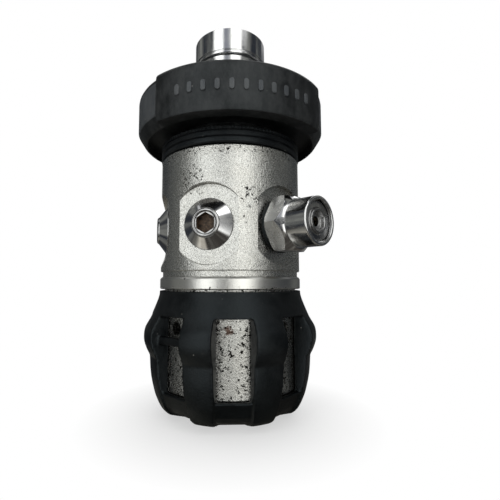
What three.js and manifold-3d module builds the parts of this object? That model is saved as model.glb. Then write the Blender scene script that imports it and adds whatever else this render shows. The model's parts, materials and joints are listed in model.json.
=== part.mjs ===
// Scuba regulator first stage: balanced diaphragm type with a DIN hand-wheel connection.
// Millimetres, +Z along the main axis with the DIN inlet up, -Y is the front, origin at the
// middle of the boot's flat base. Angles round the axis are in degrees from the front towards +X.

import * as THREE from 'three';
import { mergeVertices } from 'three/addons/utils/BufferGeometryUtils.js';
import Module from 'manifold-3d';

const wasm = await Module();
wasm.setup();

// ---------------------------------------------------------------- driving dimensions

const GAP = 0.3;                     // clearance kept between neighbouring pieces
const ROUND = 48;                    // facets round the large turned pieces
const ROUND_MIDDLE = 28;             // facets round the middle-sized ones
const ROUND_SMALL = 20;              // facets round the small ones
const ROUND_TINY = 8;                // facets round pins and drillings

const BOOT_TOP = 32.7;
const BOOT_FLOOR = 4.9;
const BOOT_BORE = 18.8;
const BOOT_BASE_RADIUS = 11.8;
const BOOT_HEEL_RADIUS = 17.4;       // where the base's shallow cone turns up into the side
const BOOT_HEEL_HEIGHT = 2;
const BOOT_TAPER_TOP = 9;            // below this the boot and the housing narrow together
const BOOT_TAPER_BORE = 15.3;
const BOOT_WAIST_RADIUS = 21.95;     // just under the step
const BOOT_STEP_HEIGHT = 16.9;
const BOOT_BULGE_RADIUS = 23.3;
const BOOT_LIP_RADIUS = 19.4;
const WINDOW_COUNT = 8;
const WINDOW_FIRST_ANGLE = 2.3;
const WINDOW_BOTTOM = 8.4;
const WINDOW_TOP = 26.6;
const WINDOW_OUTER_HALF_WIDTH = 5.3;
const WINDOW_INNER_HALF_WIDTH = 3.95;
const CHANNEL_OUTER_HALF_WIDTH = 4.9;
const CHANNEL_INNER_HALF_WIDTH = 3.5;
const CHANNEL_DEPTH = 0.9;
const WEB_BOTTOM = 19.9;             // rubber web across one window
const WEB_TOP = 21.6;

const HOUSING_BOTTOM = BOOT_FLOOR + GAP;
const HOUSING_RADIUS = BOOT_BORE - GAP;
const HOUSING_BORE = 14.2;
const FLANGE_BOTTOM = 33.15;
const FLANGE_TOP = 36.3;
const FLANGE_RADIUS = 19.32;
const SPIGOT_RADIUS = 16.3;
const SPIGOT_TOP = 39.8;
const SPIGOT_BORE = 13.2;
const WATER_HOLE_RADIUS = 1.7;
const WATER_HOLE_HEIGHT = 23.7;

const BODY_RADIUS = 19.2;
const BODY_NECK_RADIUS = 18.6;       // groove between the body and the housing flange
const BODY_BOTTOM = FLANGE_TOP + GAP;
const BODY_SHOULDER = 37.65;
const BODY_TOP = 67.9;
const BODY_BOSS_RADIUS = 13.5;
const BODY_BOSS_TOP = 72;
const DIAPHRAGM_SEAT = 41.5;
const CHAMBER_RADIUS = 8;
const CHAMBER_TOP = 52;
const SEAT_BORE = 5;
const SEAT_SHOULDER = 54.5;
const INLET_BORE = 8.6;

const PORT_HEIGHT = 48.85;
const PORT_FLAT = 17.67;             // distance of each spot face from the axis
const PORT_FLAT_CUTTER_RADIUS = 10;
const PORT_BORE = 4.7;
const PORT_BOTTOM = 9.5;
const PORT_SEAL_RADIUS = 6.3;
const PORT_SEAL_DEPTH = 1.3;
const PORT_PITCH = 60;
const RELIEF_ANGLE = 43;
const PLUG_ANGLES = [1, 2, 3, 4, 5].map((step) => RELIEF_ANGLE - step * PORT_PITCH);
const HIGH_PRESSURE_PLUGS = [1, 4];  // indices into PLUG_ANGLES, opposite each other

const COLLAR_BOTTOM = BODY_TOP + GAP;
const COLLAR_TOP = 72.3;
const COLLAR_RADIUS = 19.4;

const WHEEL_BOTTOM = 72.6;
const WHEEL_TOP = 85;
const WHEEL_GRIP_RADIUS = 26.8;
const WHEEL_PAD_RADIUS = 25.8;
const WHEEL_GRIP_ARC = 100;
const WHEEL_GRIP_CENTRE = 7.8;
const WHEEL_EDGE = 1.3;
const HEX_CORNER = 12.7;             // drive hexagon of the coupling sleeve
const WHEEL_RECESS_INNER = 14.8;
const WHEEL_RECESS_OUTER = 23.4;
const WHEEL_RECESS_DEPTH = 2.4;
const WHEEL_TOP_RECESS_DEPTH = 0.8;

const SHAFT_RADIUS = 8;
const SLEEVE_BORE = SHAFT_RADIUS + GAP;
const SLEEVE_BODY_RADIUS = 10.6;
const SLEEVE_TOP = 92.4;
const THREAD_RADIUS = 11.45;         // G5/8 outside thread
const THREAD_ROOT = 10.3;
const THREAD_PITCH = 1.814;
const THREAD_TURNS = 3;

const RETAINER_BOTTOM = 57.8;
const RETAINER_THREAD_RADIUS = INLET_BORE - GAP;
const RETAINER_CHAMBER = 6.4;
const RETAINER_CHAMBER_TOP = 69;
const NECK_BOTTOM = 92.7;
const NECK_RADIUS = 9.2;
const TIP_BOTTOM = 96.7;
const TIP_TOP = 103.44;
const TIP_RADIUS = 10.06;
const FACE_GROOVE_OUTER = 8.9;
const FACE_GROOVE_INNER = 6.1;
const FACE_GROOVE_FLOOR = 101.5;
const FILTER_POCKET = 5;
const FILTER_POCKET_FLOOR = 100;
const INLET_PASSAGE = 3;

const RELIEF_END = 30;
const RELIEF_HEX_CORNER = 13 / Math.sqrt(3);     // 13 across flats
const RELIEF_BARREL_RADIUS = 5.8;
const RELIEF_CHAMBER = 4.2;

// ---------------------------------------------------------------- materials

const FINISHES = {
  satinMetal: { color: 0xb9b8b3, metalness: 0.9, roughness: 0.42 },
  polishedMetal: { color: 0xd3d3d1, metalness: 1, roughness: 0.16 },
  brass: { color: 0xb8924a, metalness: 1, roughness: 0.35 },
  stainless: { color: 0xa8a9a8, metalness: 1, roughness: 0.3 },
  sinteredMetal: { color: 0x8d7b5f, metalness: 0.7, roughness: 0.8 },
  blackRubber: { color: 0x1b1b1c, metalness: 0, roughness: 0.75 },
  blackPlastic: { color: 0x202124, metalness: 0, roughness: 0.5 },
  whitePlastic: { color: 0xe2e0d8, metalness: 0, roughness: 0.5 },
};

function finish(name) {
  return new THREE.MeshStandardMaterial(FINISHES[name]);
}

// ---------------------------------------------------------------- solid helpers

// Shares the vertices between faces and drops the triangles that collapse on the axis.
function weld(geometry) {
  const bare = geometry.clone();
  bare.deleteAttribute('normal');
  bare.deleteAttribute('uv');
  const merged = mergeVertices(bare, 1e-4);
  const corners = merged.index.array;
  const kept = [];
  for (let i = 0; i < corners.length; i += 3) {
    const [a, b, c] = [corners[i], corners[i + 1], corners[i + 2]];
    if (a !== b && b !== c && c !== a) kept.push(a, b, c);
  }
  merged.setIndex(kept);
  return merged;
}

function toSolid(geometry) {
  const closed = weld(geometry);
  const mesh = new wasm.Mesh({
    numProp: 3,
    vertProperties: new Float32Array(closed.attributes.position.array),
    triVerts: new Uint32Array(closed.index.array),
  });
  return new wasm.Manifold(mesh);
}

function toGeometry(solid) {
  const mesh = solid.getMesh();
  const geometry = new THREE.BufferGeometry();
  geometry.setAttribute('position', new THREE.BufferAttribute(mesh.vertProperties, 3));
  geometry.setIndex(new THREE.BufferAttribute(mesh.triVerts, 1));
  return geometry;
}

function overlap(first, second) {
  return toGeometry(toSolid(first).intersect(toSolid(second)));
}

function cut(base, tools) {
  const solid = tools.reduce((rest, tool) => rest.subtract(toSolid(tool)), toSolid(base));
  return toGeometry(solid);
}

function join(first, others) {
  const solid = others.reduce((sum, other) => sum.add(toSolid(other)), toSolid(first));
  return toGeometry(solid);
}

// Turns an outline of [radius, height] points round Z. It runs anticlockwise: out along the
// bottom, up the outside and back in along the top.
function turned(outline, facets = ROUND_SMALL) {
  const points = outline.map(([radius, height]) => new THREE.Vector2(radius, height));
  return new THREE.LatheGeometry(points, facets).rotateX(Math.PI / 2);
}

// The same for an outline that stands clear of the axis, closed back to its first point.
function turnedRing(outline, facets = ROUND_SMALL) {
  return turned([...outline, outline[0]], facets);
}

function disc(radius, bottom, top, facets = ROUND_SMALL) {
  return turned([[0, bottom], [radius, bottom], [radius, top], [0, top]], facets);
}

function tube(inner, outer, bottom, top, facets = ROUND_SMALL) {
  return turnedRing([[inner, bottom], [outer, bottom], [outer, top], [inner, top]], facets);
}

function hexagon(cornerRadius, bottom, top) {
  const prism = new THREE.CylinderGeometry(cornerRadius, cornerRadius, top - bottom, 6);
  return prism.rotateY(Math.PI / 6).rotateX(Math.PI / 2).translate(0, 0, (bottom + top) / 2);
}

function seal(ringRadius, sectionRadius, height, facets = ROUND_MIDDLE, sides = 5) {
  const torus = new THREE.TorusGeometry(ringRadius, sectionRadius, sides, facets);
  return torus.translate(0, 0, height);
}

// A round wire wound evenly up the Z axis, from the centre of its first turn to its last.
function coilSpring(coilRadius, wireRadius, bottom, top, turns, stepsPerTurn, sides) {
  class Helix extends THREE.Curve {
    getPoint(t, target = new THREE.Vector3()) {
      const angle = 2 * Math.PI * turns * t;
      const height = bottom + (top - bottom) * t;
      return target.set(coilRadius * Math.sin(angle), -coilRadius * Math.cos(angle), height);
    }
  }
  const section = new THREE.Shape();
  for (let side = 0; side < sides; side += 1) {
    const angle = (2 * Math.PI * side) / sides;
    const [x, y] = [wireRadius * Math.cos(angle), wireRadius * Math.sin(angle)];
    if (side === 0) section.moveTo(x, y);
    else section.lineTo(x, y);
  }
  return new THREE.ExtrudeGeometry(section, {
    steps: Math.round(turns * stepsPerTurn),
    extrudePath: new Helix(),
    bevelEnabled: false,
  });
}

const radians = THREE.MathUtils.degToRad;

function evenAngles(count, first) {
  return [...Array(count).keys()].map((step) => first + (step * 360) / count);
}

function turnedTo(geometry, degrees) {
  return geometry.rotateZ(radians(degrees));
}

// A radial frame: its Z runs outward from the axis at the given angle, its Y points up.
function radialFrame(degrees, height) {
  const angle = radians(degrees);
  const outward = new THREE.Vector3(Math.sin(angle), -Math.cos(angle), 0);
  const sideways = new THREE.Vector3(Math.cos(angle), Math.sin(angle), 0);
  const up = new THREE.Vector3(0, 0, 1);
  return new THREE.Matrix4().makeBasis(sideways, up, outward).setPosition(0, 0, height);
}

function piece(name, geometry, finishName) {
  const mesh = new THREE.Mesh(geometry, finish(finishName));
  mesh.name = name;
  return mesh;
}

// ---------------------------------------------------------------- rubber boot

function curvePoints(curve, divisions) {
  return curve.getPoints(divisions).map((point) => [point.x, point.y]);
}

function bootShell() {
  const side = new THREE.SplineCurve([
    new THREE.Vector2(BOOT_HEEL_RADIUS, BOOT_HEEL_HEIGHT),
    new THREE.Vector2(BOOT_HEEL_RADIUS + 1.9, BOOT_HEEL_HEIGHT + 2.2),
    new THREE.Vector2(BOOT_WAIST_RADIUS - 1.1, 9.5),
    new THREE.Vector2(BOOT_WAIST_RADIUS - 0.3, 13.5),
  ]);
  const bulge = new THREE.SplineCurve([
    new THREE.Vector2(BOOT_BULGE_RADIUS - 0.5, BOOT_STEP_HEIGHT + 0.7),
    new THREE.Vector2(BOOT_BULGE_RADIUS, 21.1),
    new THREE.Vector2(BOOT_BULGE_RADIUS - 1.6, 25.9),
    new THREE.Vector2(BOOT_LIP_RADIUS + 0.7, 29.6),
    new THREE.Vector2(BOOT_LIP_RADIUS, BOOT_TOP),
  ]);
  return turned([
    [0, 0],
    [BOOT_BASE_RADIUS, 0],
    ...curvePoints(side, 6),
    [BOOT_WAIST_RADIUS, BOOT_STEP_HEIGHT - 0.1],
    ...curvePoints(bulge, 6),
    [BOOT_BORE, BOOT_TOP],
    [BOOT_BORE, BOOT_TAPER_TOP],
    [BOOT_TAPER_BORE, BOOT_FLOOR],
    [0, BOOT_FLOOR],
  ], ROUND);
}

// A block centred on the front whose sides are closer together near the axis.
function wedge([innerRadius, innerHalf], [outerRadius, outerHalf], bottom, top) {
  const plan = new THREE.Shape([
    new THREE.Vector2(-innerHalf, -innerRadius),
    new THREE.Vector2(-outerHalf, -outerRadius),
    new THREE.Vector2(outerHalf, -outerRadius),
    new THREE.Vector2(innerHalf, -innerRadius),
  ]);
  const block = new THREE.ExtrudeGeometry(plan, { depth: top - bottom, bevelEnabled: false });
  return block.translate(0, 0, bottom);
}

function windowTool(angle) {
  const overrun = 1.5;
  const flare = (WINDOW_OUTER_HALF_WIDTH - WINDOW_INNER_HALF_WIDTH) / (BOOT_BULGE_RADIUS - BOOT_BORE);
  const inner = [BOOT_BORE - overrun, WINDOW_INNER_HALF_WIDTH - overrun * flare];
  const outer = [BOOT_BULGE_RADIUS + overrun, WINDOW_OUTER_HALF_WIDTH + overrun * flare];
  return turnedTo(wedge(inner, outer, WINDOW_BOTTOM, WINDOW_TOP), angle);
}

// A shallow chute from the foot of a window down the side of the boot and under its base.
function channelTool(angle) {
  const top = WINDOW_BOTTOM + 0.5;
  const side = new THREE.Shape([
    new THREE.Vector2(BOOT_WAIST_RADIUS - 1.1 - CHANNEL_DEPTH, top),
    new THREE.Vector2(BOOT_HEEL_RADIUS + 1.9 - CHANNEL_DEPTH, BOOT_HEEL_HEIGHT + 2.5),
    new THREE.Vector2(BOOT_HEEL_RADIUS - 0.2, BOOT_HEEL_HEIGHT + 1),
    new THREE.Vector2(BOOT_BASE_RADIUS - 1.4, 0),
    new THREE.Vector2(BOOT_BASE_RADIUS - 1.4, -1),
    new THREE.Vector2(BOOT_BULGE_RADIUS, -1),
    new THREE.Vector2(BOOT_BULGE_RADIUS, top),
  ]);
  const slab = new THREE.ExtrudeGeometry(side, { depth: BOOT_BORE, bevelEnabled: false });
  slab.translate(0, 0, -BOOT_BORE / 2).rotateX(Math.PI / 2).rotateZ(-Math.PI / 2);
  const inner = [BOOT_BASE_RADIUS - 2, CHANNEL_INNER_HALF_WIDTH];
  const outer = [BOOT_BULGE_RADIUS + 1, CHANNEL_OUTER_HALF_WIDTH];
  return turnedTo(overlap(slab, wedge(inner, outer, -2, top + 1)), angle);
}

function windowWeb(angle) {
  const bar = new THREE.BoxGeometry(2 * WINDOW_OUTER_HALF_WIDTH, 1.6, WEB_TOP - WEB_BOTTOM);
  return turnedTo(bar.translate(0, -(BOOT_BORE + 1.2), (WEB_BOTTOM + WEB_TOP) / 2), angle);
}

function protectiveBoot() {
  const angles = evenAngles(WINDOW_COUNT, WINDOW_FIRST_ANGLE);
  const cage = cut(bootShell(), angles.flatMap((angle) => [windowTool(angle), channelTool(angle)]));
  return join(cage, [windowWeb(angles[angles.length - 1])]);
}

// ---------------------------------------------------------------- lower housing and its contents

function diaphragmHousing() {
  const shell = turnedRing([
    [HOUSING_BORE, HOUSING_BOTTOM],
    [BOOT_TAPER_BORE - GAP, HOUSING_BOTTOM],
    [HOUSING_RADIUS, BOOT_TAPER_TOP],
    [HOUSING_RADIUS, FLANGE_BOTTOM],
    [FLANGE_RADIUS - 0.2, FLANGE_BOTTOM],
    [FLANGE_RADIUS, FLANGE_BOTTOM + 0.25],
    [FLANGE_RADIUS, FLANGE_TOP - 0.25],
    [FLANGE_RADIUS - 0.2, FLANGE_TOP],
    [SPIGOT_RADIUS, FLANGE_TOP],
    [SPIGOT_RADIUS, SPIGOT_TOP],
    [SPIGOT_BORE, SPIGOT_TOP],
    [SPIGOT_BORE, FLANGE_BOTTOM - 1],
    [HOUSING_BORE, FLANGE_BOTTOM - 2],
  ], ROUND);
  const drillings = evenAngles(4, 45).map((angle) => {
    const drill = disc(WATER_HOLE_RADIUS, HOUSING_BORE - 1, HOUSING_RADIUS + 1, ROUND_SMALL);
    return drill.applyMatrix4(radialFrame(angle, WATER_HOLE_HEIGHT));
  });
  return cut(shell, drillings);
}

const ADJUSTER_BOTTOM = 5.7;
const ADJUSTER_TOP = 11;
const ADJUSTER_RADIUS = HOUSING_BORE - GAP;
const ADJUSTER_KEY_CORNER = 5.2;     // 9 across flats
const WASHER_TOP = 12.5;
const WASHER_BORE = 7.6;
const WASHER_RADIUS = 12.6;
const SPRING_WIRE = 1.25;
const SPRING_COIL = 10.6;
const PAD_BOTTOM = 38;
const PAD_SPIGOT_RADIUS = SPRING_COIL - SPRING_WIRE - 0.4;
const PAD_SPIGOT_DEPTH = 2.4;
const PAD_RADIUS = SPIGOT_BORE - 0.5;

function adjuster() {
  const screw = turned([
    [0, ADJUSTER_BOTTOM],
    [ADJUSTER_RADIUS - 0.5, ADJUSTER_BOTTOM],
    [ADJUSTER_RADIUS, ADJUSTER_BOTTOM + 0.5],
    [ADJUSTER_RADIUS, ADJUSTER_TOP],
    [0, ADJUSTER_TOP],
  ], ROUND_MIDDLE);
  return cut(screw, [hexagon(ADJUSTER_KEY_CORNER, ADJUSTER_BOTTOM - 1, ADJUSTER_TOP + 1)]);
}

function thrustWasher() {
  return tube(WASHER_BORE, WASHER_RADIUS, ADJUSTER_TOP + GAP, WASHER_TOP, ROUND_MIDDLE);
}

function springPad() {
  return turned([
    [0, PAD_BOTTOM - PAD_SPIGOT_DEPTH],
    [PAD_SPIGOT_RADIUS - 0.2, PAD_BOTTOM - PAD_SPIGOT_DEPTH],
    [PAD_SPIGOT_RADIUS, PAD_BOTTOM],
    [PAD_RADIUS, PAD_BOTTOM],
    [PAD_RADIUS, SPIGOT_TOP - 0.5],
    [PAD_RADIUS - 0.6, SPIGOT_TOP],
    [0, SPIGOT_TOP],
  ], ROUND_MIDDLE);
}

function mainSpring() {
  const bottom = WASHER_TOP + SPRING_WIRE + 0.2;
  const top = PAD_BOTTOM - SPRING_WIRE - 0.2;
  return coilSpring(SPRING_COIL, SPRING_WIRE, bottom, top, 6, 12, 6);
}

function diaphragm() {
  const [bottom, top] = [SPIGOT_TOP + GAP, DIAPHRAGM_SEAT - GAP];
  const rim = SPIGOT_RADIUS - 0.1;
  return turned([
    [0, bottom],
    [rim, bottom],
    [rim, top],
    [SPIGOT_BORE + 0.4, top],
    [SPIGOT_BORE - 0.2, top - 0.3],
    [SPIGOT_BORE - 1, top - 0.3],
    [SPIGOT_BORE - 1.6, top],
    [0, top],
  ], ROUND_MIDDLE);
}

// ---------------------------------------------------------------- main body

const HIGH_PRESSURE_DRILL_RADIUS = 0.8;
const LOW_PRESSURE_DRILL_RADIUS = 1.6;

// Slants up from the foot of a port, past the seat, into the bore below the inlet.
function highPressureDrilling(degrees) {
  const from = new THREE.Vector3(0, 1.2, PORT_BOTTOM + 2);
  const to = new THREE.Vector3(0, 8.2, INLET_BORE - 1.1);
  const direction = to.clone().sub(from);
  const drill = disc(HIGH_PRESSURE_DRILL_RADIUS, 0, direction.length(), ROUND_TINY);
  const axis = new THREE.Vector3(0, 0, 1);
  const lean = new THREE.Quaternion().setFromUnitVectors(axis, direction.normalize());
  const placed = drill.applyQuaternion(lean).translate(from.x, from.y, from.z);
  return placed.applyMatrix4(radialFrame(degrees, PORT_HEIGHT));
}

function lowPressureDrilling(degrees) {
  const drill = disc(LOW_PRESSURE_DRILL_RADIUS, CHAMBER_RADIUS - 1, PORT_BOTTOM + 1, ROUND_TINY);
  return drill.applyMatrix4(radialFrame(degrees, PORT_HEIGHT));
}

function portTool(degrees) {
  const tool = turned([
    [0, PORT_BOTTOM],
    [PORT_BORE, PORT_BOTTOM],
    [PORT_BORE, PORT_FLAT - PORT_SEAL_DEPTH],
    [PORT_SEAL_RADIUS, PORT_FLAT - PORT_SEAL_DEPTH],
    [PORT_SEAL_RADIUS, PORT_FLAT],
    [PORT_FLAT_CUTTER_RADIUS, PORT_FLAT],
    [PORT_FLAT_CUTTER_RADIUS, BODY_RADIUS + 2],
    [0, BODY_RADIUS + 2],
  ], ROUND_MIDDLE);
  return tool.applyMatrix4(radialFrame(degrees, PORT_HEIGHT));
}

function body() {
  const blank = turnedRing([
    [SPIGOT_RADIUS + GAP, BODY_BOTTOM],
    [BODY_NECK_RADIUS, BODY_BOTTOM],
    [BODY_NECK_RADIUS, BODY_SHOULDER],
    [BODY_RADIUS - 0.3, BODY_SHOULDER],
    [BODY_RADIUS, BODY_SHOULDER + 0.3],
    [BODY_RADIUS, BODY_TOP - 0.4],
    [BODY_RADIUS - 0.4, BODY_TOP],
    [BODY_BOSS_RADIUS, BODY_TOP],
    [BODY_BOSS_RADIUS, BODY_BOSS_TOP],
    [INLET_BORE, BODY_BOSS_TOP],
    [INLET_BORE, SEAT_SHOULDER],
    [SEAT_BORE, SEAT_SHOULDER],
    [SEAT_BORE, CHAMBER_TOP],
    [CHAMBER_RADIUS, CHAMBER_TOP],
    [CHAMBER_RADIUS, DIAPHRAGM_SEAT],
    [SPIGOT_RADIUS + GAP, DIAPHRAGM_SEAT],
  ], ROUND);
  const ports = [RELIEF_ANGLE, ...PLUG_ANGLES].map(portTool);
  const drillings = PLUG_ANGLES.map((angle, index) => (
    HIGH_PRESSURE_PLUGS.includes(index) ? highPressureDrilling(angle) : lowPressureDrilling(angle)
  ));
  return cut(blank, [...ports, ...drillings, lowPressureDrilling(RELIEF_ANGLE)]);
}

function topCollar() {
  const middle = (COLLAR_BOTTOM + COLLAR_TOP) / 2;
  const grooves = [middle - 0.7, middle + 0.7].flatMap((height) => [
    [COLLAR_RADIUS, height - 0.25],
    [COLLAR_RADIUS - 0.4, height],
    [COLLAR_RADIUS, height + 0.25],
  ]);
  return turnedRing([
    [BODY_BOSS_RADIUS + GAP, COLLAR_BOTTOM],
    [COLLAR_RADIUS, COLLAR_BOTTOM],
    ...grooves,
    [COLLAR_RADIUS, COLLAR_TOP],
    [BODY_BOSS_RADIUS + GAP, COLLAR_TOP],
  ], ROUND);
}

// ---------------------------------------------------------------- valve

const SEAT_DISC_BOTTOM = SEAT_SHOULDER + GAP;
const SEAT_DISC_TOP = RETAINER_BOTTOM - GAP;
const CROWN_TOP = 58;
const POPPET_FACE = 59.3;
const POPPET_SHOULDER = 61.5;
const GUIDE_BOTTOM = 66.4;
const GUIDE_TOP = RETAINER_CHAMBER_TOP - GAP;
const CROWN_BORE = 1.5;
const POPPET_HEAD_RADIUS = 3.7;
const POPPET_STEM_RADIUS = 1.9;
const INSERT_RADIUS = 2.8;
const INSERT_THICKNESS = 1;
const PIN_HEAD_RADIUS = 3;
const PIN_RADIUS = 0.9;
const SEAL_SECTION = 0.62;
const SEAL_GROOVE = 7;

function valveSeat() {
  const rim = INLET_BORE - GAP;
  return turnedRing([
    [CROWN_BORE, CHAMBER_TOP + GAP],
    [SEAT_BORE - GAP, CHAMBER_TOP + GAP],
    [SEAT_BORE - GAP, SEAT_DISC_BOTTOM],
    [rim, SEAT_DISC_BOTTOM],
    [rim, SEAT_DISC_BOTTOM + 0.6],
    [SEAL_GROOVE, SEAT_DISC_BOTTOM + 0.6],
    [SEAL_GROOVE, SEAT_DISC_TOP - 0.5],
    [rim, SEAT_DISC_TOP - 0.5],
    [rim, SEAT_DISC_TOP],
    [CROWN_BORE + 1.2, SEAT_DISC_TOP],
    [CROWN_BORE + 0.5, CROWN_TOP],
    [CROWN_BORE, CROWN_TOP],
  ], ROUND_MIDDLE);
}

function seatSeal() {
  return seal(SEAL_GROOVE + 0.75, SEAL_SECTION, (SEAT_DISC_BOTTOM + SEAT_DISC_TOP + 0.1) / 2);
}

function valvePoppet() {
  const insertPocket = POPPET_FACE + INSERT_THICKNESS + GAP;
  return turned([
    [0, insertPocket],
    [INSERT_RADIUS + GAP, insertPocket],
    [INSERT_RADIUS + GAP, POPPET_FACE],
    [POPPET_HEAD_RADIUS, POPPET_FACE],
    [POPPET_HEAD_RADIUS, POPPET_SHOULDER],
    [POPPET_STEM_RADIUS, POPPET_SHOULDER],
    [POPPET_STEM_RADIUS, GUIDE_BOTTOM + 1.1],
    [0, GUIDE_BOTTOM + 1.1],
  ]);
}

function poppetSeatInsert() {
  return disc(INSERT_RADIUS, POPPET_FACE, POPPET_FACE + INSERT_THICKNESS);
}

function lifterPin() {
  return turned([
    [0, DIAPHRAGM_SEAT],
    [PIN_HEAD_RADIUS, DIAPHRAGM_SEAT],
    [PIN_HEAD_RADIUS, DIAPHRAGM_SEAT + 0.8],
    [PIN_RADIUS, DIAPHRAGM_SEAT + 1.4],
    [PIN_RADIUS, POPPET_FACE - GAP],
    [0, POPPET_FACE - GAP],
  ], ROUND_TINY);
}

function poppetSpring() {
  const wire = 0.35;
  return coilSpring(2.9, wire, POPPET_SHOULDER + wire + 0.1, GUIDE_BOTTOM - wire - 0.1, 4, 7, 5);
}

function balanceGuide() {
  const plug = turned([
    [0, GUIDE_TOP - 0.6],
    [POPPET_STEM_RADIUS + GAP, GUIDE_TOP - 0.6],
    [POPPET_STEM_RADIUS + GAP, GUIDE_BOTTOM],
    [RETAINER_CHAMBER - GAP, GUIDE_BOTTOM],
    [RETAINER_CHAMBER - GAP, GUIDE_TOP],
    [0, GUIDE_TOP],
  ], ROUND_SMALL);
  const gasHoles = evenAngles(4, 0).map((angle) => {
    const drill = disc(0.8, GUIDE_BOTTOM - 1, GUIDE_TOP + 1, ROUND_TINY).translate(0, -4.2, 0);
    return turnedTo(drill, angle);
  });
  return cut(plug, gasHoles);
}

// ---------------------------------------------------------------- DIN inlet

const CIRCLIP_BOTTOM = 101.9;
const CIRCLIP_TOP = 102.5;
const RETAINER_SEAL_HEIGHT = 70.05;

function dinRetainer() {
  const threadTop = BODY_BOSS_TOP + GAP;
  return turnedRing([
    [RETAINER_CHAMBER, RETAINER_BOTTOM],
    [RETAINER_THREAD_RADIUS, RETAINER_BOTTOM],
    [RETAINER_THREAD_RADIUS, RETAINER_SEAL_HEIGHT - 0.85],
    [SEAL_GROOVE, RETAINER_SEAL_HEIGHT - 0.85],
    [SEAL_GROOVE, RETAINER_SEAL_HEIGHT + 0.85],
    [RETAINER_THREAD_RADIUS, RETAINER_SEAL_HEIGHT + 0.85],
    [RETAINER_THREAD_RADIUS, threadTop - 0.3],
    [SHAFT_RADIUS, threadTop],
    [SHAFT_RADIUS, NECK_BOTTOM],
    [NECK_RADIUS, NECK_BOTTOM],
    [NECK_RADIUS, TIP_BOTTOM],
    [TIP_RADIUS, TIP_BOTTOM],
    [TIP_RADIUS, TIP_TOP - 0.2],
    [TIP_RADIUS - 0.2, TIP_TOP],
    [FACE_GROOVE_OUTER, TIP_TOP],
    [FACE_GROOVE_OUTER, FACE_GROOVE_FLOOR],
    [FACE_GROOVE_INNER, FACE_GROOVE_FLOOR],
    [FACE_GROOVE_INNER, TIP_TOP],
    [FILTER_POCKET, TIP_TOP],
    [FILTER_POCKET, CIRCLIP_TOP + 0.15],
    [FILTER_POCKET + 0.4, CIRCLIP_TOP + 0.15],
    [FILTER_POCKET + 0.4, CIRCLIP_BOTTOM - 0.15],
    [FILTER_POCKET, CIRCLIP_BOTTOM - 0.15],
    [FILTER_POCKET, FILTER_POCKET_FLOOR],
    [INLET_PASSAGE, FILTER_POCKET_FLOOR],
    [INLET_PASSAGE, RETAINER_CHAMBER_TOP],
    [RETAINER_CHAMBER, RETAINER_CHAMBER_TOP],
  ], ROUND_MIDDLE);
}

function faceSeal() {
  return seal((FACE_GROOVE_INNER + FACE_GROOVE_OUTER) / 2, 1, TIP_TOP - 0.75, ROUND_MIDDLE, 6);
}

function retainerSeal() {
  return seal(SEAL_GROOVE + 0.75, SEAL_SECTION, RETAINER_SEAL_HEIGHT);
}

function inletFilter() {
  return turned([
    [0, FILTER_POCKET_FLOOR + GAP],
    [FILTER_POCKET - 0.25, FILTER_POCKET_FLOOR + GAP],
    [FILTER_POCKET - 0.25, CIRCLIP_BOTTOM - 0.5],
    [2.6, CIRCLIP_BOTTOM - 0.2],
    [0, CIRCLIP_BOTTOM - 0.1],
  ], ROUND_SMALL);
}

function filterCirclip() {
  const [inner, outer, openHalf] = [FILTER_POCKET - 0.8, FILTER_POCKET + 0.2, radians(24)];
  const outline = new THREE.Shape();
  outline.absarc(0, 0, outer, openHalf, 2 * Math.PI - openHalf, false);
  outline.absarc(0, 0, inner, 2 * Math.PI - openHalf, openHalf, true);
  const ring = new THREE.ExtrudeGeometry(outline, {
    depth: CIRCLIP_TOP - CIRCLIP_BOTTOM,
    bevelEnabled: false,
    curveSegments: 12,
  });
  return ring.translate(0, 0, CIRCLIP_BOTTOM);
}

// ---------------------------------------------------------------- hand wheel and coupling

function threadOutline(start) {
  const turns = [...Array(THREAD_TURNS).keys()].map((turn) => start + turn * THREAD_PITCH);
  return turns.flatMap((height) => [
    [THREAD_ROOT, height],
    [THREAD_RADIUS, height + 0.45 * THREAD_PITCH],
    [THREAD_RADIUS, height + 0.55 * THREAD_PITCH],
  ]);
}

function couplingSleeve() {
  const tubeWithThread = turnedRing([
    [SLEEVE_BORE, WHEEL_BOTTOM],
    [SLEEVE_BODY_RADIUS, WHEEL_BOTTOM],
    [SLEEVE_BODY_RADIUS, WHEEL_TOP],
    ...threadOutline(WHEEL_TOP + 0.4),
    [THREAD_ROOT, SLEEVE_TOP - 0.3],
    [THREAD_ROOT - 0.3, SLEEVE_TOP],
    [SLEEVE_BORE, SLEEVE_TOP],
  ], ROUND_MIDDLE);
  const drive = cut(hexagon(HEX_CORNER, WHEEL_BOTTOM + 1.4, WHEEL_TOP - 0.2), [
    disc(SLEEVE_BORE + 1, WHEEL_BOTTOM, WHEEL_TOP, ROUND_MIDDLE),
  ]);
  return join(tubeWithThread, [drive]);
}

// Two wide raised grips with two recessed pads between them, rounded at the top and bottom.
function wheelOutline() {
  const outline = new THREE.Shape();
  const half = WHEEL_GRIP_ARC / 2;
  for (const turn of [0, 180]) {
    const centre = turn + WHEEL_GRIP_CENTRE - 90;
    const [start, end] = [radians(centre - half), radians(centre + half)];
    const ramp = radians(2);
    outline.absarc(0, 0, WHEEL_GRIP_RADIUS, start + ramp, end - ramp, false);
    outline.absarc(0, 0, WHEEL_PAD_RADIUS, end + ramp, start + Math.PI - ramp, false);
  }
  outline.closePath();
  return outline;
}

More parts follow.
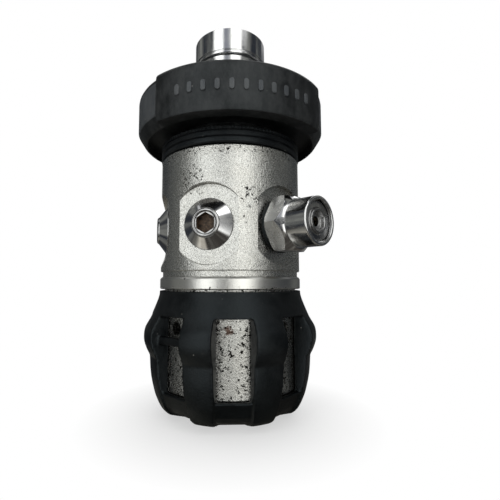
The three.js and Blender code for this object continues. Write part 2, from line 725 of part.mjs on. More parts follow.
function handwheel() {
  const rim = new THREE.ExtrudeGeometry(wheelOutline(), {
    depth: WHEEL_TOP - WHEEL_BOTTOM - 2 * WHEEL_EDGE,
    bevelThickness: WHEEL_EDGE,
    bevelSize: WHEEL_EDGE,
    bevelOffset: -WHEEL_EDGE,
    bevelSegments: 2,
    curveSegments: 14,
  });
  rim.translate(0, 0, WHEEL_BOTTOM + WHEEL_EDGE);
  const recess = (bottom, top) => tube(WHEEL_RECESS_INNER, WHEEL_RECESS_OUTER, bottom, top, ROUND);
  return cut(rim, [
    hexagon(HEX_CORNER + 0.35, WHEEL_BOTTOM - 1, WHEEL_TOP + 1),
    recess(WHEEL_BOTTOM - 1, WHEEL_BOTTOM + WHEEL_RECESS_DEPTH),
    recess(WHEEL_TOP - WHEEL_TOP_RECESS_DEPTH, WHEEL_TOP + 1),
  ]);
}

// ---------------------------------------------------------------- port plugs, in radial frames

const PLUG_SHANK_END = 11.5;
const PLUG_SEAT = PORT_FLAT + 0.05;  // the head is screwed down to the spot face
const PLUG_HEAD_RADIUS = 6.2;
const PLUG_RING_RADIUS = 3.5;        // plain raised ring round the key socket
const PLUG_FACE = 20.3;
const PLUG_KEY_CORNER = 2.54;        // 4.4 across flats
const PLUG_KEY_DEPTH = 2.2;

function portPlug() {
  const blank = turned([
    [0, PLUG_SHANK_END],
    [PORT_BORE - GAP, PLUG_SHANK_END],
    [PORT_BORE - GAP, PLUG_SEAT],
    [PLUG_HEAD_RADIUS, PLUG_SEAT],
    [PLUG_HEAD_RADIUS, PLUG_SEAT + 0.2],
    [PLUG_RING_RADIUS, PLUG_FACE - 0.4],
    [PLUG_RING_RADIUS - 0.3, PLUG_FACE],
    [0, PLUG_FACE],
  ]);
  const socket = hexagon(PLUG_KEY_CORNER, PLUG_FACE - PLUG_KEY_DEPTH, PLUG_FACE + 1);
  return cut(blank, [socket.rotateZ(Math.PI / 6)]);
}

function plugSeal() {
  return seal(PORT_BORE + 0.75, 0.55, PORT_FLAT - 0.6, ROUND_SMALL, 4);
}

// ---------------------------------------------------------------- relief valve, in a radial frame

const RELIEF_HEX_BOTTOM = 19.1;
const RELIEF_HEX_TOP = 24.3;         // where its long chamfer meets the barrel
const RELIEF_BORE = 1.5;
const RELIEF_SEAT = 20.4;
const RELIEF_POPPET_RADIUS = 3.6;
const RELIEF_STEM_RADIUS = 1.4;
const RELIEF_MOUTH = 5;              // the chamber widens here for the cap
const RELIEF_MOUTH_BOTTOM = 27.3;
const RELIEF_CAP_BOTTOM = RELIEF_MOUTH_BOTTOM + GAP;
const RELIEF_CAP_TOP = 29.2;
const RELIEF_CAP_RING_RADIUS = 3;
const RELIEF_VENT_RADIUS = 1.2;

function reliefHexagon() {
  const rounding = turned([
    [0, RELIEF_HEX_BOTTOM],
    [RELIEF_HEX_CORNER - 0.6, RELIEF_HEX_BOTTOM],
    [RELIEF_HEX_CORNER, RELIEF_HEX_BOTTOM + 0.6],
    [RELIEF_HEX_CORNER, RELIEF_HEX_TOP - 1.7],
    [RELIEF_BARREL_RADIUS + 0.2, RELIEF_HEX_TOP],
    [0, RELIEF_HEX_TOP],
  ], ROUND_MIDDLE);
  return overlap(hexagon(RELIEF_HEX_CORNER, RELIEF_HEX_BOTTOM, RELIEF_HEX_TOP), rounding);
}

function reliefValveBody() {
  const barrel = turned([
    [0, PLUG_SHANK_END],
    [PORT_BORE - GAP, PLUG_SHANK_END],
    [PORT_BORE - GAP, RELIEF_HEX_BOTTOM + 0.5],
    [RELIEF_BARREL_RADIUS, RELIEF_HEX_BOTTOM + 0.5],
    [RELIEF_BARREL_RADIUS, RELIEF_END - 0.7],
    [RELIEF_BARREL_RADIUS - 0.2, RELIEF_END - 0.2],
    [RELIEF_BARREL_RADIUS - 0.5, RELIEF_END],
    [0, RELIEF_END],
  ], ROUND_MIDDLE);
  return cut(join(barrel, [reliefHexagon()]), [
    disc(RELIEF_BORE, PLUG_SHANK_END - 1, RELIEF_SEAT + 0.5, ROUND_TINY),
    disc(RELIEF_CHAMBER, RELIEF_SEAT, RELIEF_END, ROUND_SMALL),
    disc(RELIEF_MOUTH, RELIEF_MOUTH_BOTTOM, RELIEF_END + 1, ROUND_MIDDLE),
  ]);
}

function reliefValveSeal() {
  return tube(PORT_BORE + 0.1, 6.7, PORT_FLAT + 0.15, RELIEF_HEX_BOTTOM - 0.15);
}

function reliefPoppet() {
  const stemEnd = RELIEF_CAP_BOTTOM - 1.3;
  return turned([
    [0, RELIEF_SEAT + GAP],
    [RELIEF_POPPET_RADIUS, RELIEF_SEAT + GAP],
    [RELIEF_POPPET_RADIUS, RELIEF_SEAT + 1.9],
    [RELIEF_STEM_RADIUS, RELIEF_SEAT + 2.2],
    [RELIEF_STEM_RADIUS, stemEnd],
    [0, stemEnd],
  ]);
}

function reliefValveSpring() {
  const wire = 0.35;
  const top = RELIEF_CAP_BOTTOM - wire - 0.15;
  return coilSpring(2.6, wire, RELIEF_SEAT + 2.6, top, 4, 8, 5);
}

// A recessed cap whose raised middle ring surrounds the vent.
function reliefValveCap() {
  return turnedRing([
    [RELIEF_VENT_RADIUS, RELIEF_CAP_BOTTOM],
    [RELIEF_MOUTH - GAP, RELIEF_CAP_BOTTOM],
    [RELIEF_MOUTH - GAP, RELIEF_CAP_TOP],
    [RELIEF_CAP_RING_RADIUS, RELIEF_CAP_TOP],
    [RELIEF_CAP_RING_RADIUS - 0.2, RELIEF_CAP_TOP + 0.5],
    [RELIEF_CAP_RING_RADIUS - 0.8, RELIEF_CAP_TOP + 0.5],
    [RELIEF_CAP_RING_RADIUS - 1, RELIEF_CAP_TOP - 0.6],
    [RELIEF_VENT_RADIUS, RELIEF_CAP_TOP - 0.6],
  ]);
}

// ---------------------------------------------------------------- assembly

function radialGroup(degrees, meshes) {
  const group = new THREE.Group();
  group.applyMatrix4(radialFrame(degrees, PORT_HEIGHT));
  group.add(...meshes);
  return group;
}

const firstStage = new THREE.Group();

firstStage.add(
  piece('protective_boot', protectiveBoot(), 'blackRubber'),
  piece('diaphragm_housing', diaphragmHousing(), 'satinMetal'),
  piece('adjuster', adjuster(), 'brass'),
  piece('thrust_washer', thrustWasher(), 'stainless'),
  piece('main_spring', mainSpring(), 'stainless'),
  piece('spring_pad', springPad(), 'brass'),
  piece('diaphragm', diaphragm(), 'blackRubber'),
  piece('body', body(), 'satinMetal'),
  piece('top_collar', topCollar(), 'blackRubber'),
  piece('lifter_pin', lifterPin(), 'stainless'),
  piece('valve_seat', valveSeat(), 'stainless'),
  piece('seat_oring', seatSeal(), 'blackRubber'),
  piece('valve_poppet', valvePoppet(), 'brass'),
  piece('poppet_seat_insert', poppetSeatInsert(), 'whitePlastic'),
  piece('poppet_spring', poppetSpring(), 'stainless'),
  piece('balance_guide', balanceGuide(), 'whitePlastic'),
  piece('din_retainer', dinRetainer(), 'polishedMetal'),
  piece('retainer_oring', retainerSeal(), 'blackRubber'),
  piece('din_face_oring', faceSeal(), 'blackRubber'),
  piece('inlet_filter', inletFilter(), 'sinteredMetal'),
  piece('filter_circlip', filterCirclip(), 'stainless'),
  piece('coupling_sleeve', couplingSleeve(), 'polishedMetal'),
  piece('handwheel', handwheel(), 'blackPlastic'),
);

PLUG_ANGLES.forEach((angle, index) => {
  firstStage.add(radialGroup(angle, [
    piece(`port_plug_${index + 1}`, portPlug(), 'polishedMetal'),
    piece(`plug_oring_${index + 1}`, plugSeal(), 'blackRubber'),
  ]));
});

firstStage.add(radialGroup(RELIEF_ANGLE, [
  piece('relief_valve_body', reliefValveBody(), 'polishedMetal'),
  piece('relief_valve_oring', reliefValveSeal(), 'blackRubber'),
  piece('relief_poppet', reliefPoppet(), 'brass'),
  piece('relief_valve_spring', reliefValveSpring(), 'stainless'),
  piece('relief_valve_cap', reliefValveCap(), 'polishedMetal'),
]));

export default firstStage;
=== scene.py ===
"""Looks of the scuba regulator first stage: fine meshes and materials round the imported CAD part.

Blender's unit is the metre. Shapes are drawn in millimetres in the part's own frame and scaled
once, when a mesh is made. Angles round the main axis are degrees from the front (-Y) towards +X.
"""

import json
import math

import bmesh
import bpy
from mathutils import Matrix, Vector


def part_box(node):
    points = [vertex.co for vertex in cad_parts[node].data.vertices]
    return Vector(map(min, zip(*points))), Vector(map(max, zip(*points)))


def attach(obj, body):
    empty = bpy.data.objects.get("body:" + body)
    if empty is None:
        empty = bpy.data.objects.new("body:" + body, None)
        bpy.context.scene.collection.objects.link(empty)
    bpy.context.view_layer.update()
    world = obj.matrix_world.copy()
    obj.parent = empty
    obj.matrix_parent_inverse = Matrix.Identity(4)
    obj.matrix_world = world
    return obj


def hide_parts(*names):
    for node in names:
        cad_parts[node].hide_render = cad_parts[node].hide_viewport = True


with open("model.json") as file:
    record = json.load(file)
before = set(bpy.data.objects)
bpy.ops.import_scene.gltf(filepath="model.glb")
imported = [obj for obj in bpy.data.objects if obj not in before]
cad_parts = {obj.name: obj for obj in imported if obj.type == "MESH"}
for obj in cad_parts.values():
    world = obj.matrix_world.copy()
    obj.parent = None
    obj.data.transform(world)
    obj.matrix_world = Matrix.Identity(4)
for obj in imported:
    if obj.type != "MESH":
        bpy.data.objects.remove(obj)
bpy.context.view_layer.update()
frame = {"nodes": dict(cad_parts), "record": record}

MM = 0.001
FINE = 256                # facets round the large turned pieces
MEDIUM = 128              # round the middle-sized ones
SMALL = 72                # round the small ones


# ------------------------------------------------------------------ sizes read from the frame

def span(node):
    """Largest radius about the main axis, bottom and top of a node, in millimetres."""
    low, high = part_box(node)
    radius = max(-low.x, -low.y, high.x, high.y)
    return radius / MM, low.z / MM, high.z / MM


BOOT_TOP = span("protective_boot")[2]
FLANGE_RADIUS, HOUSING_BOTTOM, HOUSING_TOP = span("diaphragm_housing")
BODY_RADIUS, _, BODY_BOSS_TOP = span("body")
COLLAR_RADIUS, COLLAR_BOTTOM, COLLAR_TOP = span("top_collar")
WHEEL_RADIUS, WHEEL_BOTTOM, WHEEL_TOP = span("handwheel")
SLEEVE_BOTTOM, SLEEVE_TOP = span("coupling_sleeve")[1:]
TIP_RADIUS, RETAINER_BOTTOM, TIP_TOP = span("din_retainer")
BODY_TOP = COLLAR_BOTTOM - 0.3
PORT_HEIGHT = sum(span("port_plug_1")[1:]) / 2


# ------------------------------------------------------------------ camera

CAMERA_DISTANCE = 104.1 * MM
CAMERA_HEIGHT = 35.2 * MM
CAMERA_PITCH_UP = 4.84
CAMERA_LENS = 26.5
CAMERA_SHIFT = 0.04


def add_camera():
    data = bpy.data.cameras.new("camera")
    data.lens = CAMERA_LENS
    data.sensor_width = 36
    data.shift_x = CAMERA_SHIFT
    data.clip_start = 0.005
    data.clip_end = 20
    camera = bpy.data.objects.new("camera", data)
    camera.location = (0, -CAMERA_DISTANCE, CAMERA_HEIGHT)
    camera.rotation_euler = (math.radians(90 + CAMERA_PITCH_UP), 0, 0)
    bpy.context.scene.collection.objects.link(camera)
    bpy.context.scene.camera = camera


# ------------------------------------------------------------------ mesh helpers

def fillet(before, corner, after, radius, steps=5):
    """Points of an arc of that radius that rounds a corner of an outline."""
    into, out = (before - corner).normalized(), (after - corner).normalized()
    half = into.angle(out) / 2
    reach = min(radius / math.tan(half), 0.48 * (before - corner).length, 0.48 * (after - corner).length)
    centre = corner + (into + out).normalized() * (reach / math.cos(half))
    start, end = corner + into * reach - centre, corner + out * reach - centre
    turn = start.angle(end)
    if turn < 1e-4:
        return [corner]
    weight = lambda share: math.sin(share * turn) / math.sin(turn)
    return [centre + start * weight(1 - k / steps) + end * weight(k / steps) for k in range(steps + 1)]


def softened(outline, closed):
    """Rounds each corner of [radius, height, fillet] rows that gives a fillet."""
    points = []
    for i, corner in enumerate(outline):
        if len(corner) < 3 or (not closed and i in (0, len(outline) - 1)):
            points.append(Vector(corner[:2]))
            continue
        before = Vector(outline[i - 1][:2])
        after = Vector(outline[(i + 1) % len(outline)][:2])
        points += fillet(before, Vector(corner[:2]), after, corner[2])
    return points


def spun(outline, facets, radius_at=None):
    """A closed mesh of an outline turned round Z. radius_at(row, angle) may vary a row's radius."""
    mesh = bmesh.new()
    closed = all(point[0] > 1e-6 for point in outline)
    rings = []
    for row, point in enumerate(outline):
        if point[0] <= 1e-6:
            rings.append([mesh.verts.new((0, 0, point[1]))] * facets)
            continue
        ring = []
        for k in range(facets):
            angle = 2 * math.pi * k / facets
            radius = radius_at(row, angle) if radius_at else point[0]
            ring.append(mesh.verts.new((radius * math.sin(angle), -radius * math.cos(angle), point[1])))
        rings.append(ring)
    pairs = list(zip(rings, rings[1:]))
    if closed:
        pairs.append((rings[-1], rings[0]))
    for lower, upper in pairs:
        for k in range(facets):
            n = (k + 1) % facets
            corners = [lower[k], lower[n], upper[n], upper[k]]
            unique = list(dict.fromkeys(corners))
            if len(unique) > 2:
                mesh.faces.new(unique)
    bmesh.ops.recalc_face_normals(mesh, faces=mesh.faces)
    return mesh


def bridge(mesh, rings):
    """Closes the first and last rings, and joins each ring to the next."""
    mesh.faces.new(rings[0])
    mesh.faces.new(rings[-1])
    for lower, upper in zip(rings, rings[1:]):
        for k in range(len(lower)):
            n = (k + 1) % len(lower)
            mesh.faces.new((lower[k], lower[n], upper[n], upper[k]))
    bmesh.ops.recalc_face_normals(mesh, faces=mesh.faces)


def make(name, mesh, place=None):
    """Turns a bmesh in millimetres into an object; place is its matrix, also in millimetres."""
    data = bpy.data.meshes.new(name)
    mesh.transform(Matrix.Scale(MM, 4))
    mesh.to_mesh(data)
    mesh.free()
    piece = bpy.data.objects.new(name, data)
    bpy.context.scene.collection.objects.link(piece)
    if place is not None:
        place = place.copy()
        place.translation *= MM
        piece.matrix_world = place
    return piece


def turned(name, outline, facets=MEDIUM, place=None):
    closed = all(row[0] > 1e-6 for row in outline)
    return make(name, spun(softened(outline, closed), facets), place)


def prism(name, corners, bottom, top, place=None):
    """A straight prism on a polygon of (x, y) corners."""
    mesh = bmesh.new()
    bridge(mesh, [[mesh.verts.new((x, y, height)) for x, y in corners] for height in (bottom, top)])
    return make(name, mesh, place)


def hexagon(across_flats, turn=0):
    corner = across_flats / math.sqrt(3)
    angles = [math.radians(60 * k + turn) for k in range(6)]
    return [(corner * math.cos(a), corner * math.sin(a)) for a in angles]


def apply_modifiers(piece):
    bpy.context.view_layer.update()
    graph = bpy.context.evaluated_depsgraph_get()
    finished = bpy.data.meshes.new_from_object(piece.evaluated_get(graph))
    piece.modifiers.clear()
    rough = piece.data
    piece.data = finished
    bpy.data.meshes.remove(rough)


def boolean(piece, tools, operation):
    """Joins to, cuts from or keeps what is common with each tool, and then removes the tool."""
    for tool in tools:
        modifier = piece.modifiers.new(operation.lower(), "BOOLEAN")
        modifier.operation = operation
        modifier.solver = "EXACT"
        modifier.object = tool
    apply_modifiers(piece)
    for tool in tools:
        bpy.data.objects.remove(tool)
    return piece


def bevelled(piece, width, segments=2, angle=32):
    modifier = piece.modifiers.new("bevel", "BEVEL")
    modifier.width = width * MM
    modifier.segments = segments
    modifier.limit_method = "ANGLE"
    modifier.angle_limit = math.radians(angle)
    modifier.miter_outer = "MITER_ARC"
    apply_modifiers(piece)
    return piece


def remeshed(piece, voxel, smoothing):
    """A soft moulded surface: an even mesh whose edges are rounded by smoothing."""
    remesh = piece.modifiers.new("remesh", "REMESH")
    remesh.mode = "VOXEL"
    remesh.voxel_size = voxel * MM
    smooth = piece.modifiers.new("smooth", "SMOOTH")
    smooth.factor = 0.5
    smooth.iterations = smoothing
    apply_modifiers(piece)
    return piece


def shade(piece, sharp_angle=35):
    data = piece.data
    data.polygons.foreach_set("use_smooth", [True] * len(data.polygons))
    data.set_sharp_from_angle(angle=math.radians(sharp_angle))


def flatten_normals(piece):
    """Keeps large faces flat to the light, next to narrow rounded edges."""
    modifier = piece.modifiers.new("normals", "WEIGHTED_NORMAL")
    modifier.keep_sharp = True
    apply_modifiers(piece)


def radial_frame(degrees, height):
    """Z runs out from the main axis at that angle, Y points up; in millimetres."""
    angle = math.radians(degrees)
    outward = Vector((math.sin(angle), -math.cos(angle), 0))
    sideways = Vector((math.cos(angle), math.sin(angle), 0))
    up = Vector((0, 0, 1))
    place = Matrix((sideways, up, outward)).transposed().to_4x4()
    place.translation = Vector((0, 0, height))
    return place


def about_axis(degrees):
    return Matrix.Rotation(math.radians(degrees), 4, "Z")


def settle(piece, material, slot, body, *nodes, sharp_angle=35):
    """Shades a finished piece, gives it its material, and puts it in place of CAD nodes. The slot argument is
    not used.
    """
    shade(piece, sharp_angle)
    flatten_normals(piece)
    piece.data.materials.clear()
    piece.data.materials.append(material)
    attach(piece, body)
    if nodes:
        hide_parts(*nodes)
    return piece


# ------------------------------------------------------------------ material helpers

class Shader:
    """A Principled material with short calls for the nodes that these finishes use."""

    def __init__(self, name, **sockets):
        self.material = bpy.data.materials.new(name)
        self.material.use_nodes = True
        self.tree = self.material.node_tree
        self.shader = self.tree.nodes["Principled BSDF"]
        for socket, value in sockets.items():
            self.shader.inputs[socket.replace("_", " ")].default_value = value
        self.place = self.tree.nodes.new("ShaderNodeTexCoord").outputs["Object"]
        self.last_bump = None

    def link(self, source, target):
        self.tree.links.new(source, target)

    def noise(self, size_mm, detail=3, roughness=0.6, stretch=None, distortion=0.0):
        """Cloudy noise with features of about that size."""
        node = self.tree.nodes.new("ShaderNodeTexNoise")
        node.inputs["Scale"].default_value = 1 / (size_mm * MM)
        node.inputs["Detail"].default_value = detail
        node.inputs["Roughness"].default_value = roughness
        node.inputs["Distortion"].default_value = distortion
        self.link(self.stretched(stretch) if stretch else self.place, node.inputs["Vector"])
        return node.outputs["Fac"]

    def stretched(self, stretch):
        node = self.tree.nodes.new("ShaderNodeMapping")
        node.inputs["Scale"].default_value = stretch
        self.link(self.place, node.inputs["Vector"])
        return node.outputs["Vector"]

    def spots(self, size_mm, randomness=1.0):
        """Distance to the nearest of a scatter of points about that far apart."""
        node = self.tree.nodes.new("ShaderNodeTexVoronoi")
        node.inputs["Scale"].default_value = 1 / (size_mm * MM)
        node.inputs["Randomness"].default_value = randomness
        self.link(self.place, node.inputs["Vector"])
        return node.outputs["Distance"]

    def near(self, point_mm, reach_mm):
        """1 at a point of the piece, fading to 0 at that distance."""
        node = self.tree.nodes.new("ShaderNodeVectorMath")
        node.operation = "DISTANCE"
        node.inputs[1].default_value = [c * MM for c in point_mm]
        self.link(self.place, node.inputs[0])
        return self.fade(node.outputs["Value"], 0, reach_mm)

    def height(self, full_mm, none_mm):
        """1 at one height of the piece, fading to 0 at the other."""
        node = self.tree.nodes.new("ShaderNodeSeparateXYZ")
        self.link(self.place, node.inputs["Vector"])
        return self.fade(node.outputs["Z"], full_mm, none_mm)

    def fade(self, value, full_mm, none_mm):
        node = self.tree.nodes.new("ShaderNodeMapRange")
        node.inputs["From Min"].default_value = full_mm * MM
        node.inputs["From Max"].default_value = none_mm * MM
        node.inputs["To Min"].default_value = 1
        node.inputs["To Max"].default_value = 0
        self.link(value, node.inputs["Value"])
        return node.outputs["Result"]

    def larger(self, first, *others):
        for other in others:
            node = self.tree.nodes.new("ShaderNodeMath")
            node.operation = "MAXIMUM"
            self.link(first, node.inputs[0])
            self.link(other, node.inputs[1])
            first = node.outputs[0]
        return first

    def ramp(self, source, *stops):
        """Maps a value through (position, value or colour) stops."""
        node = self.tree.nodes.new("ShaderNodeValToRGB")
        elements = node.color_ramp.elements
        while len(elements) < len(stops):
            elements.new(0.5)
        for element, (position, value) in zip(elements, stops):
            element.position = position
            element.color = (value, value, value, 1) if isinstance(value, (int, float)) else (*value, 1)
        self.link(source, node.inputs["Fac"])
        return node.outputs["Color"]

    def multiply(self, first, second):
        node = self.tree.nodes.new("ShaderNodeMath")
        node.operation = "MULTIPLY"
        for socket, value in zip(node.inputs, (first, second)):
            if isinstance(value, (int, float)):
                socket.default_value = value
            else:
                self.link(value, socket)
        return node.outputs[0]

    def mix(self, share, first, second):
        """Blends two colours; each is a colour or an output."""
        node = self.tree.nodes.new("ShaderNodeMix")
        node.data_type = "RGBA"
        self.link(share, node.inputs["Factor"])
        for socket, value in ((node.inputs["A"], first), (node.inputs["B"], second)):
            socket = [s for s in node.inputs if s.name == socket.name and s.type == "RGBA"][0]
            if isinstance(value, tuple):
                socket.default_value = (*value, 1)
            else:
                self.link(value, socket)
        return [s for s in node.outputs if s.type == "RGBA"][0]

    def colour(self, source):
        self.link(source, self.shader.inputs["Base Color"])

    def roughness(self, source):
        self.link(source, self.shader.inputs["Roughness"])

    def metalness(self, source):
        self.link(source, self.shader.inputs["Metallic"])

    def bump(self, source, depth_mm, strength=1.0):
        node = self.tree.nodes.new("ShaderNodeBump")
        node.inputs["Strength"].default_value = strength
        node.inputs["Distance"].default_value = depth_mm * MM
        self.link(source, node.inputs["Height"])
        if self.last_bump is not None:
            self.link(self.last_bump, node.inputs["Normal"])
        self.last_bump = node.outputs["Normal"]
        self.link(self.last_bump, self.shader.inputs["Normal"])


# ------------------------------------------------------------------ materials

GRIME = (0.018, 0.016, 0.013)
RUST = (0.075, 0.036, 0.022)
RUST_REACH = 4.2


def satin_metal(name, pitting, dirt=(), shoulder=None, rust_at=None):
    """Blasted chrome plate: bright and dark grain, corrosion pits, and dirt in some zones.

    Each dirt zone is ("near", point, reach) or ("height", full, none), in millimetres.
    Above the height of the shoulder the plating is smooth, and below it the colour is darkened
    with painted shade. A rust spot can sit at one point.
    """
    metal = Shader(name, Metallic=1.0, Roughness=0.36)
    grain = metal.noise(0.24, detail=2, roughness=0.5)
    cloud = metal.noise(6.0, detail=3)
    base = metal.ramp(
        grain, (0.36, (0.42, 0.42, 0.40)), (0.48, (0.59, 0.59, 0.57)), (0.60, (0.71, 0.71, 0.685)),
    )
    gloss = metal.ramp(grain, (0.3, 0.21), (0.7, 0.32))
    relief = grain
    worn = metal.mix(metal.ramp(cloud, (0.42, 0.0), (0.7, 0.3)), base, (0.50, 0.48, 0.44))
    if shoulder is not None:
        # Painted shade: below the shoulder the colour is darkened, for the metal under the flange and inside
        # the boot.
        painted_shade_below = metal.multiply(metal.height(shoulder - 0.3, shoulder + 0.3), 0.27)
        worn = metal.mix(painted_shade_below, worn, (0.10, 0.095, 0.085))
        smooth = metal.multiply(metal.height(shoulder + 0.3, shoulder - 0.3), 0.75)
        worn = metal.mix(smooth, worn, (0.68, 0.675, 0.65))
        gloss = metal.mix(smooth, gloss, (0.33, 0.33, 0.33))
        relief = metal.mix(smooth, grain, (0.5, 0.5, 0.5))
    if rust_at is not None:
        rust = metal.multiply(metal.near(rust_at, RUST_REACH), metal.noise(0.9, detail=4))
        worn = metal.mix(metal.ramp(rust, (0.33, 0.0), (0.42, 0.9)), worn, RUST)
    ragged = metal.ramp(metal.noise(0.5, detail=2), (0.34, 0.0), (0.44, 1.0))
    pit_zone = metal.ramp(metal.noise(7.0, detail=4), (0.62 - pitting, 0.0), (0.70 - pitting, 1.0))
    pit_dots = metal.ramp(metal.spots(1.3), (0.16, 1.0), (0.25, 0.0))
    marks = metal.multiply(metal.multiply(pit_zone, pit_dots), ragged)
    for kind, *where in dirt:
        zone = metal.near(*where) if kind == "near" else metal.height(*where)
        chips = metal.ramp(metal.noise(0.9, detail=5, roughness=0.7), (0.55, 0.0), (0.60, 1.0))
        marks = metal.larger(marks, metal.ramp(metal.multiply(zone, chips), (0.3, 0.0), (0.42, 1.0)))
    metal.colour(metal.mix(marks, worn, GRIME))
    metal.roughness(metal.mix(marks, gloss, (0.85, 0.85, 0.85)))
    metal.bump(relief, 0.10)
    metal.bump(metal.ramp(marks, (0.0, 1.0), (1.0, 0.0)), 0.05)
    return metal.material


def polished_metal(name, tint=0.78, haze=0.12):
    """Polished chrome plate with faint smears and hairline scratches."""
    metal = Shader(name, Metallic=1.0, Roughness=haze)
    smear = metal.noise(2.5, detail=5, roughness=0.65, distortion=0.6)
    scratch = metal.noise(0.9, detail=2, stretch=(0.06, 1.0, 1.0))
    metal.colour(metal.ramp(smear, (0.3, (tint, tint, tint * 1.01)), (0.75, (tint * 0.82,) * 3)))
    metal.roughness(metal.ramp(smear, (0.35, haze * 0.6), (0.7, haze * 1.9)))
    metal.bump(scratch, 0.004, 0.5)
    metal.bump(metal.noise(1.6, detail=3), 0.012, 0.6)
    return metal.material


def turned_metal(name, tint=0.74, haze=0.12):
    """Lathe-turned chrome: fine grooves about the piece's own axis stretch its highlights."""
    metal = Shader(name, Metallic=1.0, Roughness=haze, Anisotropic=0.7, Anisotropic_Rotation=0.25)
    tangent = metal.tree.nodes.new("ShaderNodeTangent")
    tangent.direction_type = "RADIAL"
    tangent.axis = "Z"
    metal.link(tangent.outputs["Tangent"], metal.shader.inputs["Tangent"])
    smear = metal.noise(1.8, detail=4)
    metal.colour(metal.ramp(smear, (0.3, (tint, tint, tint * 1.02)), (0.75, (tint * 0.84,) * 3)))
    metal.roughness(metal.ramp(smear, (0.35, haze * 0.8), (0.7, haze * 1.2)))
    return metal.material


def rubber(name, shade_of_black=0.002, wear=0.010):
    """Moulded rubber: satin black, greyed in soft patches, with dust specks, and darkened with painted shade
    below 14 mm.
    """
    skin = Shader(name, Roughness=0.38, Specular_IOR_Level=0.28, Specular_Tint=(0.80, 0.93, 1.0, 1.0))
    patch = skin.noise(5.0, detail=5, roughness=0.65)
    grain = skin.noise(0.42, detail=3, roughness=0.7)
    dust = skin.ramp(skin.spots(2.3), (0.05, 1.0), (0.085, 0.0))
    dust = skin.multiply(dust, skin.ramp(skin.noise(4.0), (0.5, 0.0), (0.6, 0.8)))
    dark = (shade_of_black, shade_of_black * 1.15, shade_of_black * 1.35)
    pale = (wear, wear * 1.06, wear * 1.12)
    wear_and_shade = skin.ramp(patch, (0.42, dark), (0.78, pale))
    # Painted shade: the rubber darkens to near black from 14 mm down to 6 mm, at the foot of the boot.
    wear_and_shade = skin.mix(skin.height(6, 14), wear_and_shade, (0.0005, 0.0008, 0.001))
    skin.colour(skin.mix(dust, wear_and_shade, (0.32, 0.31, 0.29)))
    skin.roughness(skin.ramp(patch, (0.35, 0.32), (0.75, 0.52)))
    skin.bump(grain, 0.06, 0.9)
    skin.bump(patch, 0.05, 0.5)
    return skin.material


def wheel_plastic(name, dark=0.006, worn=0.04):
    """Black moulded plastic with a slight texture, scuffed paler in places."""
    skin = Shader(name, Roughness=0.45, Specular_IOR_Level=0.34, Specular_Tint=(0.88, 0.96, 1.0, 1.0))
    texture = skin.noise(0.3, detail=3, roughness=0.65)
    scuff = skin.noise(3.2, detail=6, roughness=0.7, stretch=(1.0, 1.0, 0.55))
    dust = skin.multiply(
        skin.ramp(skin.spots(3.1), (0.05, 1.0), (0.08, 0.0)),
        skin.ramp(skin.noise(6.0), (0.5, 0.0), (0.6, 0.7)),
    )
    faces = skin.ramp(scuff, (0.4, (dark, dark * 1.08, dark * 1.2)), (0.75, (worn, worn * 1.04, worn * 1.08)))
    skin.colour(skin.mix(dust, faces, (0.3, 0.3, 0.29)))
    skin.roughness(skin.ramp(scuff, (0.35, 0.38), (0.75, 0.55)))
    skin.bump(texture, 0.05, 0.9)
    return skin.material


def brass(name):
    metal = Shader(name, Metallic=1.0, Roughness=0.3)
    tarnish = metal.noise(2.0, detail=4)
    metal.colour(metal.ramp(tarnish, (0.35, (0.70, 0.52, 0.25)), (0.75, (0.45, 0.31, 0.15))))
    metal.roughness(metal.ramp(tarnish, (0.3, 0.22), (0.75, 0.45)))
    metal.bump(metal.noise(0.4, stretch=(1.0, 1.0, 6.0)), 0.006, 0.5)
    return metal.material


def steel(name):
    metal = Shader(name, Metallic=1.0, Roughness=0.28)
    stain = metal.noise(2.2, detail=4)
    metal.colour(metal.ramp(stain, (0.3, (0.62, 0.62, 0.61)), (0.8, (0.44, 0.43, 0.41))))
    metal.roughness(metal.ramp(stain, (0.3, 0.2), (0.75, 0.42)))
    metal.bump(metal.noise(0.3, stretch=(1.0, 1.0, 8.0)), 0.005, 0.5)
    return metal.material


def sintered_bronze():
    metal = Shader("sintered_bronze", Metallic=0.8, Roughness=0.7)
    beads = metal.spots(0.28)
    # Painted shade: the colour is darker in the pores between the beads.
    metal.colour(metal.ramp(beads, (0.1, (0.40, 0.30, 0.18)), (0.5, (0.12, 0.09, 0.06))))
    metal.roughness(metal.ramp(beads, (0.1, 0.5), (0.5, 0.85)))
    metal.bump(metal.ramp(beads, (0.0, 1.0), (0.6, 0.0)), 0.12)
    return metal.material


def acetal():
    plastic = Shader("acetal", Roughness=0.4)
    cloud = plastic.noise(3.0)
    plastic.colour(plastic.ramp(cloud, (0.3, (0.78, 0.77, 0.73)), (0.7, (0.66, 0.65, 0.61))))
    plastic.bump(plastic.noise(0.25), 0.01, 0.5)
    return plastic.material


# ------------------------------------------------------------------ rubber boot

WINDOW_COUNT = 8
WINDOW_FIRST_ANGLE = 2.3
WINDOW_BOTTOM, WINDOW_TOP = 8.0, 26.6
WINDOW_OUTER_HALF, WINDOW_INNER_HALF = 5.3, 3.95
BOOT_BULGE = 23.4
BOOT_BORE = 18.75
BOOT_TAPER_TOP, BOOT_TAPER_BORE, BOOT_FLOOR = 8.2, 15.3, 4.9


def spline(knots, steps):
    """Points of a Catmull-Rom curve through [radius, height] knots."""
    ends = [knots[0], *knots, knots[-1]]
    points = []
    for a, b, c, d in zip(ends, ends[1:], ends[2:], ends[3:]):
        a, b, c, d = (Vector(p) for p in (a, b, c, d))
        for k in range(steps):
            t = k / steps
            points.append(0.5 * (2 * b + (c - a) * t + (2 * a - 5 * b + 4 * c - d) * t ** 2
                                 + (3 * b - 3 * c + d - a) * t ** 3))
    return [*points, Vector(knots[-1])]


